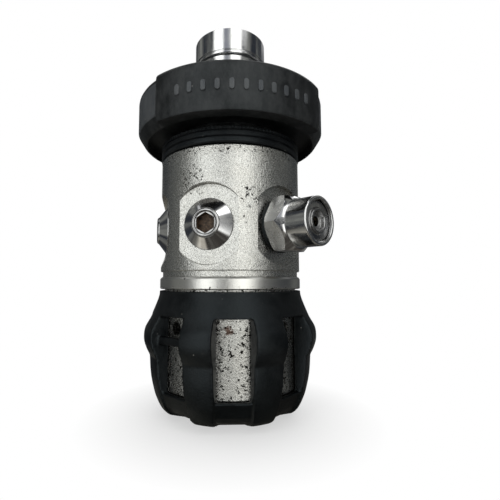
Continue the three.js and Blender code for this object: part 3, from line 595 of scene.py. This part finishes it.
def boot_outline():
    side = spline([(17.5, 2.0), (18.8, 3.1), (19.9, 5.3), (20.6, 7.4), (21.45, 11.5), (21.8, 16.2)], 5)
    bulge = spline([(22.5, 17.5), (23.2, 19.4), (BOOT_BULGE, 21.2), (23.05, 23.4), (21.6, 26.0),
                    (20.1, 29.6), (19.45, 31.6), (19.4, BOOT_TOP)], 5)
    inside = [Vector(p) for p in ((BOOT_BORE, BOOT_TOP), (BOOT_BORE, BOOT_TAPER_TOP),
                                  (BOOT_TAPER_BORE, BOOT_FLOOR), (0, BOOT_FLOOR))]
    return [Vector((0, 0)), Vector((11.8, 0)), *side, *bulge, *inside]


def window_tool(angle):
    inner, outer = BOOT_BORE - 1.5, BOOT_BULGE + 2.0
    flare = (WINDOW_OUTER_HALF - WINDOW_INNER_HALF) / (BOOT_BULGE - BOOT_BORE)
    near, far = WINDOW_INNER_HALF - 1.5 * flare, WINDOW_OUTER_HALF + 2.0 * flare
    plan = [(-near, -inner), (-far, -outer), (far, -outer), (near, -inner)]
    return prism("window_tool", plan, WINDOW_BOTTOM, WINDOW_TOP, about_axis(angle))


def channel_tool(angle):
    """A chute down the boot's side below a window and under its base, narrower near the axis."""
    top = WINDOW_BOTTOM + 0.5
    side = [(20.0, top), (19.05, 6.0), (18.4, 4.4), (17.2, 3.0), (10.4, 0), (10.4, -2), (25, -2), (25, top)]
    mesh = bmesh.new()
    bridge(mesh, [[mesh.verts.new((sign * (2.4 + 0.108 * r), -r, z)) for r, z in side] for sign in (-1, 1)])
    return make("channel_tool", mesh, about_axis(angle))


def window_web(angle):
    """A thin rubber bar across one window."""
    half, inner, outer = WINDOW_OUTER_HALF, BOOT_BORE + 0.4, BOOT_BORE + 2.2
    plan = [(-half, -inner), (-half, -outer), (half, -outer), (half, -inner)]
    return prism("web", plan, 19.9, 21.6, about_axis(angle))


def build_boot(material):
    boot = make("rubber_boot", spun(boot_outline(), 180))
    angles = [WINDOW_FIRST_ANGLE + 360 / WINDOW_COUNT * k for k in range(WINDOW_COUNT)]
    boolean(boot, [window_tool(a) for a in angles], "DIFFERENCE")
    boolean(boot, [channel_tool(a) for a in angles], "DIFFERENCE")
    boolean(boot, [window_web(angles[-1])], "UNION")
    remeshed(boot, 0.27, 5)
    settle(boot, material, "boot_rubber", "root", "protective_boot", sharp_angle=180)


# ------------------------------------------------------------------ housing, body and collar

FLANGE_BOTTOM, FLANGE_TOP = 33.15, 36.3
HOUSING_RADIUS = 18.5
SPIGOT_RADIUS, SPIGOT_BORE = 16.3, 13.2
WATER_HOLE_HEIGHT, WATER_HOLE_RADIUS = 23.7, 1.7


def build_housing(material):
    housing = turned("housing", [
        (14.2, HOUSING_BOTTOM),
        (BOOT_TAPER_BORE - 0.3, HOUSING_BOTTOM),
        (HOUSING_RADIUS, BOOT_TAPER_TOP),
        (HOUSING_RADIUS, FLANGE_BOTTOM - 1.4),
        (HOUSING_RADIUS - 0.5, FLANGE_BOTTOM - 1.0),
        (HOUSING_RADIUS - 0.5, FLANGE_BOTTOM),
        (FLANGE_RADIUS, FLANGE_BOTTOM, 0.35),
        (FLANGE_RADIUS, FLANGE_TOP - 0.55, 0.25),
        (FLANGE_RADIUS - 0.5, FLANGE_TOP, 0.25),
        (SPIGOT_RADIUS, FLANGE_TOP),
        (SPIGOT_RADIUS, HOUSING_TOP),
        (SPIGOT_BORE, HOUSING_TOP),
        (SPIGOT_BORE, FLANGE_BOTTOM - 1),
        (14.2, FLANGE_BOTTOM - 2),
    ], FINE)
    holes = []
    for angle in (45, 135, 225, 315):
        outline = [(0, 13), (WATER_HOLE_RADIUS, 13), (WATER_HOLE_RADIUS, 20), (0, 20)]
        holes.append(turned("hole", outline, 40, radial_frame(angle, WATER_HOLE_HEIGHT)))
    boolean(housing, holes, "DIFFERENCE")
    settle(housing, material, "satin_metal", "root", "diaphragm_housing")


RELIEF_ANGLE = 43
PLUG_ANGLES = [RELIEF_ANGLE - 60 * step for step in range(1, 6)]
PORT_FLAT = 17.67
PORT_BORE = 4.7
PORT_BOTTOM = 9.5
SKIRT_RADIUS, SKIRT_TOP = 18.6, 37.65     # the narrower band at the body's foot


def port_tool(angle):
    """Cuts a spot face and the port's bore with its seal recess, and breaks the spot face's edge."""
    return turned("port_tool", [
        (0, PORT_BOTTOM),
        (PORT_BORE, PORT_BOTTOM),
        (PORT_BORE, PORT_FLAT - 1.3),
        (6.3, PORT_FLAT - 1.3),
        (6.3, PORT_FLAT),
        (9.75, PORT_FLAT, 0.25),
        (10.0, BODY_RADIUS + 0.4),
        (0, BODY_RADIUS + 0.4),
    ], 144, radial_frame(angle, PORT_HEIGHT))


def build_body(material):
    body = turned("regulator_body", [
        (SPIGOT_RADIUS + 0.3, FLANGE_TOP + 0.02),
        (SKIRT_RADIUS, FLANGE_TOP + 0.02),
        (SKIRT_RADIUS, SKIRT_TOP),
        (BODY_RADIUS, SKIRT_TOP, 0.45),
        (BODY_RADIUS, BODY_TOP, 0.4),
        (13.5, BODY_TOP),
        (13.5, BODY_BOSS_TOP),
        (8.6, BODY_BOSS_TOP),
        (8.6, 54.5),
        (5.0, 54.5),
        (5.0, 52.0),
        (8.0, 52.0),
        (8.0, 41.5),
        (SPIGOT_RADIUS + 0.3, 41.5),
    ], FINE)
    boolean(body, [port_tool(a) for a in (RELIEF_ANGLE, *PLUG_ANGLES)], "DIFFERENCE")
    bevelled(body, 0.12, segments=2, angle=15)
    settle(body, material, "satin_metal", "root", "body", sharp_angle=50)


def build_collar(material):
    """Two plain bands and a finely serrated upper band."""
    rows = [
        (13.8, COLLAR_BOTTOM), (COLLAR_RADIUS - 0.3, COLLAR_BOTTOM), (COLLAR_RADIUS, COLLAR_BOTTOM + 0.3),
        (COLLAR_RADIUS, 69.2), (COLLAR_RADIUS - 0.55, 69.45), (COLLAR_RADIUS - 0.55, 69.75),
        (COLLAR_RADIUS, 70.0), (COLLAR_RADIUS, 70.9), (COLLAR_RADIUS - 0.55, 71.1),
        (COLLAR_RADIUS - 0.55, 71.3), (COLLAR_RADIUS, 71.5), (COLLAR_RADIUS, 72.1),
        (COLLAR_RADIUS - 0.25, COLLAR_TOP), (13.8, COLLAR_TOP),
    ]
    serrations = 120

    def radius_at(row, angle):
        radius, height = rows[row]
        if radius < 15 or height < 71.4:
            return radius
        return radius - 0.16 * (0.5 + 0.5 * math.cos(serrations * angle))

    collar = make("grooved_collar", spun([Vector(r) for r in rows], serrations * 6, radius_at))
    settle(collar, material, "collar_plastic", "root", "top_collar")


# ------------------------------------------------------------------ hand wheel and coupling

GRIP_HALF_ARC = 50
GRIP_CENTRE = 7.8
HUB_FLATS = 22.6
RIB_COUNT = 11
RIB_PITCH = 6.9
RIB_HALF_WIDTH, RIB_HALF_HEIGHT = 0.62, 1.3
RIB_SIDES = 24


def pad_share(angle):
    """0 on the raised grips and 1 on the recessed pads, with a short ramp between."""
    turned_by = (math.degrees(angle) - GRIP_CENTRE + 90) % 180 - 90
    ramp = (abs(turned_by) - (GRIP_HALF_ARC - 1.2)) / 2.4
    ramp = max(0.0, min(1.0, ramp))
    return ramp * ramp * (3 - 2 * ramp)


def hex_radius(across_flats, angle):
    """Radius of a hexagon with flats at the front and back, at an angle round the axis."""
    from_flat = (math.degrees(angle) + 90) % 60 - 30
    return across_flats / 2 / math.cos(math.radians(from_flat))


def build_wheel(material, pad_material):
    bottom, top = WHEEL_BOTTOM, WHEEL_TOP
    grip, pad = WHEEL_RADIUS, WHEEL_RADIUS - 1.0
    rim = [
        (grip - 0.7, pad - 2.3, bottom), (grip - 0.25, pad - 2.0, bottom + 0.1),
        (grip - 0.05, pad - 1.5, bottom + 0.6), (grip, pad - 0.35, bottom + 2.4),
        (grip, pad, bottom + 3.0), (grip, pad, top - 1.9), (grip - 0.1, pad - 0.1, top - 1.3),
        (grip - 0.35, pad - 0.35, top - 0.85), (grip - 0.8, pad - 0.8, top - 0.55),
        (grip - 1.6, pad - 1.6, top - 0.4),
    ]
    hub, recess = 14.8, 23.3
    rows = [
        ("hex", 0, bottom), ("plain", hub, bottom), ("plain", hub, bottom + 2.4),
        ("plain", recess, bottom + 2.4), ("plain", recess, bottom),
        *[("rim", k, row[2]) for k, row in enumerate(rim)],
        ("plain", recess + 0.3, top - 0.4), ("plain", recess, top - 0.8), ("plain", hub + 0.3, top - 0.8),
        ("plain", hub, top), ("hex", 0, top),
    ]

    def radius_at(row, angle):
        kind, value, _ = rows[row]
        if kind == "hex":
            return hex_radius(HUB_FLATS, angle)
        if kind == "plain":
            return value
        share = pad_share(angle)
        return rim[value][0] * (1 - share) + rim[value][1] * share

    outline = [Vector((1, height)) for _, _, height in rows]
    wheel = make("wheel", spun(outline, 540, radius_at))
    settle(wheel, material, "wheel_plastic", "wheel", "handwheel", sharp_angle=38)
    wheel.data.materials.append(pad_material)
    for polygon in wheel.data.polygons:
        x, y, z = polygon.center / MM
        on_pad = pad_share(math.atan2(x, -y)) > 0.6 and math.hypot(x, y) > pad - 0.7
        polygon.material_index = 1 if on_pad and bottom + 2.4 < z < top - 1.9 else 0


def build_grip_ribs(material):
    """Short raised ribs across both grips, half way up."""
    middle = (WHEEL_BOTTOM + WHEEL_TOP) / 2 - 0.4
    merged = bmesh.new()
    for side in (0, 180):
        for k in range(RIB_COUNT):
            angle = side + GRIP_CENTRE + (k - (RIB_COUNT - 1) / 2) * RIB_PITCH
            place = radial_frame(angle, middle)
            rings = []
            for height, inset in ((WHEEL_RADIUS - 0.6, 0.0), (WHEEL_RADIUS + 0.12, 0.0),
                                  (WHEEL_RADIUS + 0.27, 0.07), (WHEEL_RADIUS + 0.32, 0.2)):
                ring = []
                for step in range(RIB_SIDES):
                    turn = 2 * math.pi * step / RIB_SIDES
                    x = (RIB_HALF_WIDTH - inset) * math.cos(turn)
                    y = (RIB_HALF_WIDTH - inset) * math.sin(turn)
                    if step % (RIB_SIDES // 2):
                        y += math.copysign(RIB_HALF_HEIGHT - RIB_HALF_WIDTH, y)
                    ring.append(merged.verts.new(place @ Vector((x, y, height))))
                rings.append(ring)
            bridge(merged, rings)
    ribs = make("grip_ribs", merged)
    settle(ribs, material, "wheel_plastic", "wheel")


THREAD_PITCH = 1.814
THREAD_CREST, THREAD_ROOT = 11.45, 10.35


def build_sleeve(material):
    """Drive hexagon below, and a real G5/8 helix above the wheel."""
    start, end = WHEEL_TOP + 0.4, SLEEVE_TOP - 0.9
    bore = 8.3
    step = THREAD_PITCH / 12
    thread_rows = int((end - start) / step)
    rows = [
        ("plain", bore, SLEEVE_BOTTOM), ("plain", 10.6, SLEEVE_BOTTOM), ("plain", 10.6, SLEEVE_BOTTOM + 1.4),
        ("hex", 22.0, SLEEVE_BOTTOM + 1.4), ("hex", 22.0, WHEEL_TOP - 0.2),
        ("plain", 10.35, WHEEL_TOP - 0.2), ("plain", 10.35, start),
        *[("thread", 0, start + (k + 0.5) * step) for k in range(thread_rows)],
        ("plain", 10.35, end), ("plain", 10.35, SLEEVE_TOP - 0.35), ("plain", 10.0, SLEEVE_TOP),
        ("plain", bore + 0.15, SLEEVE_TOP), ("plain", bore, SLEEVE_TOP - 0.2),
    ]

    def radius_at(row, angle):
        kind, value, height = rows[row]
        if kind == "hex":
            return hex_radius(value, angle)
        if kind == "plain":
            return value
        phase = ((height - start) / THREAD_PITCH - angle / (2 * math.pi)) % 1
        flank = min(1.0, max(0.0, 1.25 - abs(phase - 0.5) * 3.1))
        run_out = min(1.0, (height - start) / 0.9, (end - height) / 0.9)
        return THREAD_ROOT + (THREAD_CREST - THREAD_ROOT) * flank * max(0.0, run_out)

    outline = [Vector((1, height)) for _, _, height in rows]
    sleeve = make("threaded_sleeve", spun(outline, 180, radius_at))
    settle(sleeve, material, "polished_metal", "wheel", "coupling_sleeve")


# ------------------------------------------------------------------ DIN inlet

def build_retainer(material):
    shaft, neck = 8.0, 9.2
    neck_bottom, tip_bottom = 92.7, 96.7
    retainer = turned("inlet_tip", [
        (6.4, RETAINER_BOTTOM),
        (8.3, RETAINER_BOTTOM),
        (8.3, 69.2),
        (7.0, 69.2),
        (7.0, 70.9),
        (8.3, 70.9),
        (8.3, 72.0),
        (shaft, 72.3),
        (shaft, neck_bottom),
        (neck, neck_bottom, 0.2),
        (neck, tip_bottom - 0.35, 0.3),
        (TIP_RADIUS - 0.42, tip_bottom, 0.1),
        (TIP_RADIUS - 0.1, tip_bottom, 0.12),
        (TIP_RADIUS - 0.1, tip_bottom + 0.5, 0.06),
        (TIP_RADIUS - 0.38, tip_bottom + 0.62),
        (TIP_RADIUS - 0.38, tip_bottom + 0.8),
        (TIP_RADIUS, tip_bottom + 0.95, 0.12),
        (TIP_RADIUS, TIP_TOP, 0.12),
        (8.9, TIP_TOP, 0.1),
        (8.9, 101.5),
        (6.1, 101.5),
        (6.1, TIP_TOP, 0.1),
        (5.0, TIP_TOP, 0.15),
        (5.0, 102.65),
        (5.4, 102.65),
        (5.4, 101.75),
        (5.0, 101.75),
        (5.0, 100.0),
        (3.0, 100.0),
        (3.0, 69.0),
        (6.4, 69.0),
    ], FINE)
    settle(retainer, material, "polished_metal", "root", "din_retainer")


def build_ring_seal(name, node, material, ring_radius, section, height, place=None):
    """An O-ring with a true round section."""
    sides = 20
    outline = [(ring_radius + section * math.cos(2 * math.pi * k / sides),
                height + section * math.sin(2 * math.pi * k / sides)) for k in range(sides)]
    ring = make(name, spun([Vector(p) for p in outline], SMALL), place)
    settle(ring, material, "seal_rubber", "root", node)


def build_filter(material):
    dome = turned("sintered_filter", [
        (0, 100.3), (4.75, 100.3), (4.75, 101.4, 0.2), (2.6, 101.7, 0.3), (0, 101.8),
    ], SMALL)
    settle(dome, material, "sintered_bronze", "root", "inlet_filter")


def build_circlip(material):
    """An open spring ring of round-edged strip, with an eye at each end."""
    inner, outer, bottom, top = 4.25, 5.15, 101.92, 102.48
    opening = math.radians(24)
    steps = 64
    mesh = bmesh.new()
    rings = []
    for k in range(steps + 1):
        angle = opening + (2 * math.pi - 2 * opening) * k / steps
        near_end = min(k, steps - k) < 4
        inside = inner - (0.55 if near_end else 0)
        corners = [(inside, bottom), (outer, bottom), (outer, top), (inside, top)]
        rings.append([mesh.verts.new((r * math.sin(angle), -r * math.cos(angle), z)) for r, z in corners])
    bridge(mesh, rings)
    clip = make("spring_clip", mesh)
    bevelled(clip, 0.08)
    settle(clip, material, "stainless", "root", "filter_circlip")


# ------------------------------------------------------------------ port plugs

PLUG_KEY = 4.4            # across the socket's flats
PLUG_RING = 3.6           # radius of the raised ring round the socket


def build_plug(number, angle, *finishes):
    """A port plug. The finishes are for its cone, its socket and the ring round the socket."""
    place = radial_frame(angle, PORT_HEIGHT)
    seat = PORT_FLAT + 0.06
    plug = turned(f"plug_{number}", [
        (0, 11.5),
        (4.4, 11.5, 0.3),
        (4.4, seat),
        (6.2, seat),
        (6.2, seat + 0.14, 0.08),
        (PLUG_RING, 19.87, 0.1),
        (3.45, 20.15, 0.12),
        (3.1, 20.35, 0.25),
        (2.75, 20.2, 0.15),
        (2.6, 19.9, 0.1),
        (0, 19.85),
    ], MEDIUM, place)
    socket = prism("socket_tool", hexagon(PLUG_KEY, 30), 18.1, 21, place)
    for finish in finishes:
        plug.data.materials.append(finish)
        socket.data.materials.append(finish)
    for polygon in socket.data.polygons:
        polygon.material_index = 1
    boolean(plug, [socket], "DIFFERENCE")
    bevelled(plug, 0.05, segments=2)
    for polygon in plug.data.polygons:
        x, y, z = polygon.center / MM
        on_ring = math.hypot(x, y) < PLUG_RING + 0.02 and z > 19.8
        if polygon.material_index == 0 and on_ring:
            polygon.material_index = 2
    shade(plug)
    flatten_normals(plug)
    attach(plug, "root")
    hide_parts(f"port_plug_{number}")


def grimy_socket():
    """The plug's hexagon socket: dull metal with old dirt and rust."""
    dirt = Shader("grimy_socket", Roughness=0.6)
    cloud = dirt.noise(0.9, detail=4)
    dirt.colour(dirt.ramp(
        cloud, (0.35, (0.025, 0.023, 0.02)), (0.6, (0.10, 0.062, 0.038)), (0.8, (0.15, 0.125, 0.10)),
    ))
    dirt.metalness(dirt.ramp(cloud, (0.3, 0.7), (0.6, 0.2)))
    dirt.bump(cloud, 0.08)
    return dirt.material


# ------------------------------------------------------------------ relief valve

RELIEF_END = 30.0
RELIEF_HEX = 13.0
RELIEF_HEX_BOTTOM, RELIEF_HEX_TOP = 19.1, 24.3
RELIEF_BARREL = 5.8
RELIEF_CHAMBER = 4.2
RELIEF_MOUTH = 4.95


def relief_hexagon(place):
    """The wrench hexagon, rounded at the back and with a long chamfer in front."""
    corner = RELIEF_HEX / math.sqrt(3)
    bottom, top = RELIEF_HEX_BOTTOM, RELIEF_HEX_TOP
    nut = prism("relief_hexagon", hexagon(RELIEF_HEX), bottom - 0.5, top + 0.5, place)
    rounding = turned("rounding_tool", [
        (0, bottom),
        (corner - 0.75, bottom),
        (corner - 0.2, bottom + 0.35),
        (corner + 0.3, bottom + 1.4),
        (corner + 0.3, top - 2.1),
        (RELIEF_BARREL + 0.22, top),
        (0, top),
    ], MEDIUM, place)
    boolean(nut, [rounding], "INTERSECT")
    return bevelled(nut, 0.1, segments=2)


def build_relief_valve(chrome, flat_material, cap_material, seal_material):
    place = radial_frame(RELIEF_ANGLE, PORT_HEIGHT)
    nut = relief_hexagon(place)
    barrel = turned("barrel", [
        (0, 11.5),
        (4.4, 11.5, 0.3),
        (4.4, RELIEF_HEX_BOTTOM + 0.5),
        (5.0, RELIEF_HEX_BOTTOM + 0.5),
        (5.0, RELIEF_HEX_TOP - 0.5),
        (RELIEF_BARREL, RELIEF_HEX_TOP - 0.3),
        (RELIEF_BARREL, RELIEF_END, 0.84),
        (RELIEF_MOUTH, RELIEF_END - 0.05, 0.2),
        (RELIEF_MOUTH, 27.3),
        (RELIEF_CHAMBER, 27.3),
        (RELIEF_CHAMBER, 20.4),
        (1.5, 20.4),
        (1.5, 12.2),
        (0, 12.0),
    ], MEDIUM, place)
    boolean(nut, [barrel], "UNION")
    settle(nut, chrome, "polished_metal", "root", "relief_valve_body")
    nut.data.materials.append(flat_material)
    for polygon in nut.data.polygons:
        x, y, _ = polygon.center / MM
        on_flat = math.hypot(x, y) > RELIEF_BARREL + 0.3 and abs(polygon.normal.z) < 0.2
        polygon.material_index = 1 if on_flat else 0

    cap = turned("relief_cap", [
        (1.2, 27.6),
        (4.7, 27.6),
        (4.7, 29.2, 0.15),
        (4.3, 29.05, 0.2),
        (3.15, 29.05, 0.3),
        (2.95, 29.65, 0.25),
        (2.35, 29.65, 0.25),
        (2.1, 28.6, 0.2),
        (1.2, 28.6),
    ], MEDIUM, place)
    settle(cap, cap_material, "polished_metal", "root", "relief_valve_cap")

    washer = turned("relief_washer", [
        (4.8, PORT_FLAT + 0.15),
        (6.7, PORT_FLAT + 0.15, 0.4),
        (6.7, 18.95, 0.4),
        (4.8, 18.95),
    ], SMALL, place)
    settle(washer, seal_material, "seal_rubber", "root", "relief_valve_oring")


# ------------------------------------------------------------------ inner pieces keep their CAD shape

def finish_inner_nodes(materials):
    """The sealed inner pieces are shown as packed, with smooth shading and their own finishes."""
    slots = {part["node"]: part["material_slot"] for part in frame["record"]["subparts"]}
    for name, node in frame["nodes"].items():
        if node.hide_render:
            continue
        shade(node, 40)
        node.data.materials.clear()
        node.data.materials.append(materials[slots[name]])


# ------------------------------------------------------------------ stage and light

SHADE_INNER, SHADE_OUTER = 16 * MM, 40 * MM
SHADE_STRENGTH = 0.55     # share of plain white in the floor right below the object


def add_floor():
    """A pale floor that fades to plain white away from the object."""
    floor = prism("floor", [(-600, -600), (600, -600), (600, 900), (-600, 900)], -0.6, -0.02)
    material = bpy.data.materials.new("floor")
    material.use_nodes = True
    nodes, links = material.node_tree.nodes, material.node_tree.links
    nodes.clear()
    output = nodes.new("ShaderNodeOutputMaterial")
    diffuse = nodes.new("ShaderNodeBsdfDiffuse")
    diffuse.inputs["Color"].default_value = (0.93, 0.93, 0.93, 1)
    white = nodes.new("ShaderNodeEmission")
    white.inputs["Color"].default_value = (1, 1, 1, 1)
    blend = nodes.new("ShaderNodeMixShader")
    place = nodes.new("ShaderNodeNewGeometry")
    distance = nodes.new("ShaderNodeVectorMath")
    distance.operation = "LENGTH"
    fade = nodes.new("ShaderNodeMapRange")
    fade.inputs["From Min"].default_value = SHADE_INNER
    fade.inputs["From Max"].default_value = SHADE_OUTER
    fade.inputs["To Min"].default_value = SHADE_STRENGTH
    links.new(place.outputs["Position"], distance.inputs[0])
    links.new(distance.outputs["Value"], fade.inputs["Value"])
    links.new(fade.outputs["Result"], blend.inputs["Fac"])
    links.new(diffuse.outputs["BSDF"], blend.inputs[1])
    links.new(white.outputs["Emission"], blend.inputs[2])
    links.new(blend.outputs["Shader"], output.inputs["Surface"])
    floor.data.materials.append(material)
    floor.visible_glossy = floor.visible_diffuse = floor.visible_shadow = False


class Room:
    """The light that reaches the object, by direction. Azimuth 0 is the front, positive towards +X."""

    def __init__(self, tree):
        self.tree = tree
        self.direction = tree.nodes.new("ShaderNodeTexCoord").outputs["Generated"]
        split = tree.nodes.new("ShaderNodeSeparateXYZ")
        tree.links.new(self.direction, split.inputs["Vector"])
        forward = self.math("MULTIPLY", split.outputs["Y"], -1)
        self.azimuth = self.math("ARCTAN2", split.outputs["X"], forward)
        self.elevation = self.math("ARCSINE", split.outputs["Z"])
        self.light = None

    def math(self, operation, *values):
        node = self.tree.nodes.new("ShaderNodeMath")
        node.operation = operation
        for socket, value in zip(node.inputs, values):
            if isinstance(value, (int, float)):
                socket.default_value = value
            else:
                self.tree.links.new(value, socket)
        return node.outputs[0]

    def smooth(self, value, start, end, first, last):
        """Goes smoothly from first to last while the value goes from start to end."""
        node = self.tree.nodes.new("ShaderNodeMapRange")
        node.interpolation_type = "SMOOTHSTEP"
        self.tree.links.new(value, node.inputs["Value"])
        for socket, number in zip(("From Min", "From Max", "To Min", "To Max"), (start, end, first, last)):
            node.inputs[socket].default_value = number
        return node.outputs["Result"]

    def add(self, share, colour):
        node = self.tree.nodes.new("ShaderNodeVectorMath")
        node.operation = "SCALE"
        node.inputs[0].default_value = colour
        self.tree.links.new(share, node.inputs["Scale"])
        if self.light is not None:
            total = self.tree.nodes.new("ShaderNodeVectorMath")
            self.tree.links.new(self.light, total.inputs[0])
            self.tree.links.new(node.outputs["Vector"], total.inputs[1])
            node = total
        self.light = node.outputs["Vector"]

    def panel(self, azimuth, elevation, half_width, half_height, edge, colour):
        """A soft-edged rectangle of light, sized in degrees."""
        across = self.math("SUBTRACT", self.azimuth, math.radians(azimuth))
        across = self.math("ABSOLUTE", self.math("WRAP", across, math.pi, -math.pi))
        upward = self.math("ABSOLUTE", self.math("SUBTRACT", self.elevation, math.radians(elevation)))
        spread = math.radians(edge)
        wide, high = math.radians(half_width), math.radians(half_height)
        inside = self.smooth(across, wide - spread / 2, wide + spread / 2, 1, 0)
        between = self.smooth(upward, high - spread / 2, high + spread / 2, 1, 0)
        self.add(self.math("MULTIPLY", inside, between), colour)

    def mottle(self, size, colour):
        """Cloudy patches over every direction."""
        noise = self.tree.nodes.new("ShaderNodeTexNoise")
        noise.inputs["Scale"].default_value = 1 / size
        noise.inputs["Detail"].default_value = 2
        self.tree.links.new(self.direction, noise.inputs["Vector"])
        self.add(self.smooth(noise.outputs["Fac"], 0.44, 0.66, 0, 1), colour)


def add_world():
    """White to the camera. To the object, a dim room with two tall windows in front of it."""
    world = bpy.data.worlds.new("world")
    bpy.context.scene.world = world
    world.use_nodes = True
    nodes, links = world.node_tree.nodes, world.node_tree.links
    nodes.clear()
    room = Room(world.node_tree)
    room.add(room.smooth(room.elevation, -0.6, -0.2, 0, 1), (0.028, 0.032, 0.040))
    room.add(room.smooth(room.elevation, -0.6, -0.2, 1, 0), (0.05, 0.045, 0.04))
    room.mottle(0.42, (0.20, 0.20, 0.175))
    room.panel(-38, 16, 15, 42, 14, (1.85, 1.87, 1.83))
    room.panel(20, 16, 17, 42, 10, (1.85, 1.85, 1.78))
    room.panel(-10, 42, 12, 22, 12, (0.25, 0.26, 0.29))
    room.panel(46, 48, 13, 11, 8, (1.7, 1.7, 1.7))
    room.panel(-45, 84, 70, 7, 6, (1.8, 1.8, 1.8))
    room.panel(-112, 58, 20, 10, 8, (0.9, 0.9, 0.9))
    room.panel(-85, -54, 18, 13, 10, (0.5, 0.47, 0.40))
    room.panel(165, 55, 34, 18, 16, (1.6, 1.6, 1.6))

    dim = nodes.new("ShaderNodeBackground")
    links.new(room.light, dim.inputs["Color"])
    white = nodes.new("ShaderNodeBackground")
    white.inputs["Color"].default_value = (1, 1, 1, 1)
    path = nodes.new("ShaderNodeLightPath")
    blend = nodes.new("ShaderNodeMixShader")
    output = nodes.new("ShaderNodeOutputWorld")
    links.new(path.outputs["Is Camera Ray"], blend.inputs["Fac"])
    links.new(dim.outputs["Background"], blend.inputs[1])
    links.new(white.outputs["Background"], blend.inputs[2])
    links.new(blend.outputs["Shader"], output.inputs["Surface"])


# ------------------------------------------------------------------ the whole model

BODY_DIRT = [
    ("near", (-9.3, -16.8, 59.5), 6.0),
    ("near", (4.8, -18.6, 55.5), 4.5),
    ("near", (15.5, -13.0, 57.5), 5.0),
    ("height", BODY_TOP + 2.5, BODY_TOP - 5),
]
HOUSING_DIRT = [
    ("near", (-1.5, -18.3, 25.0), 5.0),
    ("height", 32.9, 34.4),
]


def build():
    add_camera()
    chrome = polished_metal("chrome")
    lathe_chrome = turned_metal("lathe_chrome")
    dull_chrome = polished_metal("dull_chrome", 0.42, 0.22)
    boot_rubber = rubber("boot_rubber")
    seal_rubber = rubber("seal_rubber")
    collar_black = rubber("collar_black", 0.008, 0.022)
    black_wheel = wheel_plastic("wheel_plastic")
    stainless = steel("stainless")
    inner = {
        "satin_metal": satin_metal("body_metal", 0.0, BODY_DIRT),
        "polished_metal": chrome,
        "stainless": stainless,
        "inner_brass": brass("inner_brass"),
        "sintered_bronze": sintered_bronze(),
        "boot_rubber": boot_rubber,
        "seal_rubber": seal_rubber,
        "wheel_plastic": black_wheel,
        "collar_plastic": collar_black,
        "white_plastic": acetal(),
    }
    build_boot(boot_rubber)
    build_housing(satin_metal("housing_metal", 0.03, HOUSING_DIRT, FLANGE_BOTTOM, (-0.4, -18.5, 23.8)))
    build_body(inner["satin_metal"])
    build_collar(collar_black)
    # The recessed pads and the grip ribs get a paler version of the wheel plastic.
    pale_wheel = wheel_plastic("pale_wheel_plastic", 0.06, 0.11)
    build_wheel(black_wheel, pale_wheel)
    build_grip_ribs(pale_wheel)
    build_sleeve(chrome)
    build_retainer(chrome)
    build_ring_seal("face_seal", "din_face_oring", seal_rubber, 7.5, 1.0, TIP_TOP - 0.88)
    build_filter(inner["sintered_bronze"])
    build_circlip(stainless)
    socket_dirt = grimy_socket()
    for number, angle in enumerate(PLUG_ANGLES, 1):
        build_plug(number, angle, lathe_chrome, socket_dirt, dull_chrome)
        place = radial_frame(angle, PORT_HEIGHT)
        build_ring_seal(f"plug_seal_{number}", f"plug_oring_{number}", seal_rubber, 5.45, 0.55, 17.07, place)
    build_relief_valve(chrome, polished_metal("hexagon_flats", 0.68, 0.25), dull_chrome, seal_rubber)
    finish_inner_nodes(inner)
    add_floor()
    add_world()
    bpy.context.scene.view_settings.view_transform = "Standard"


build()
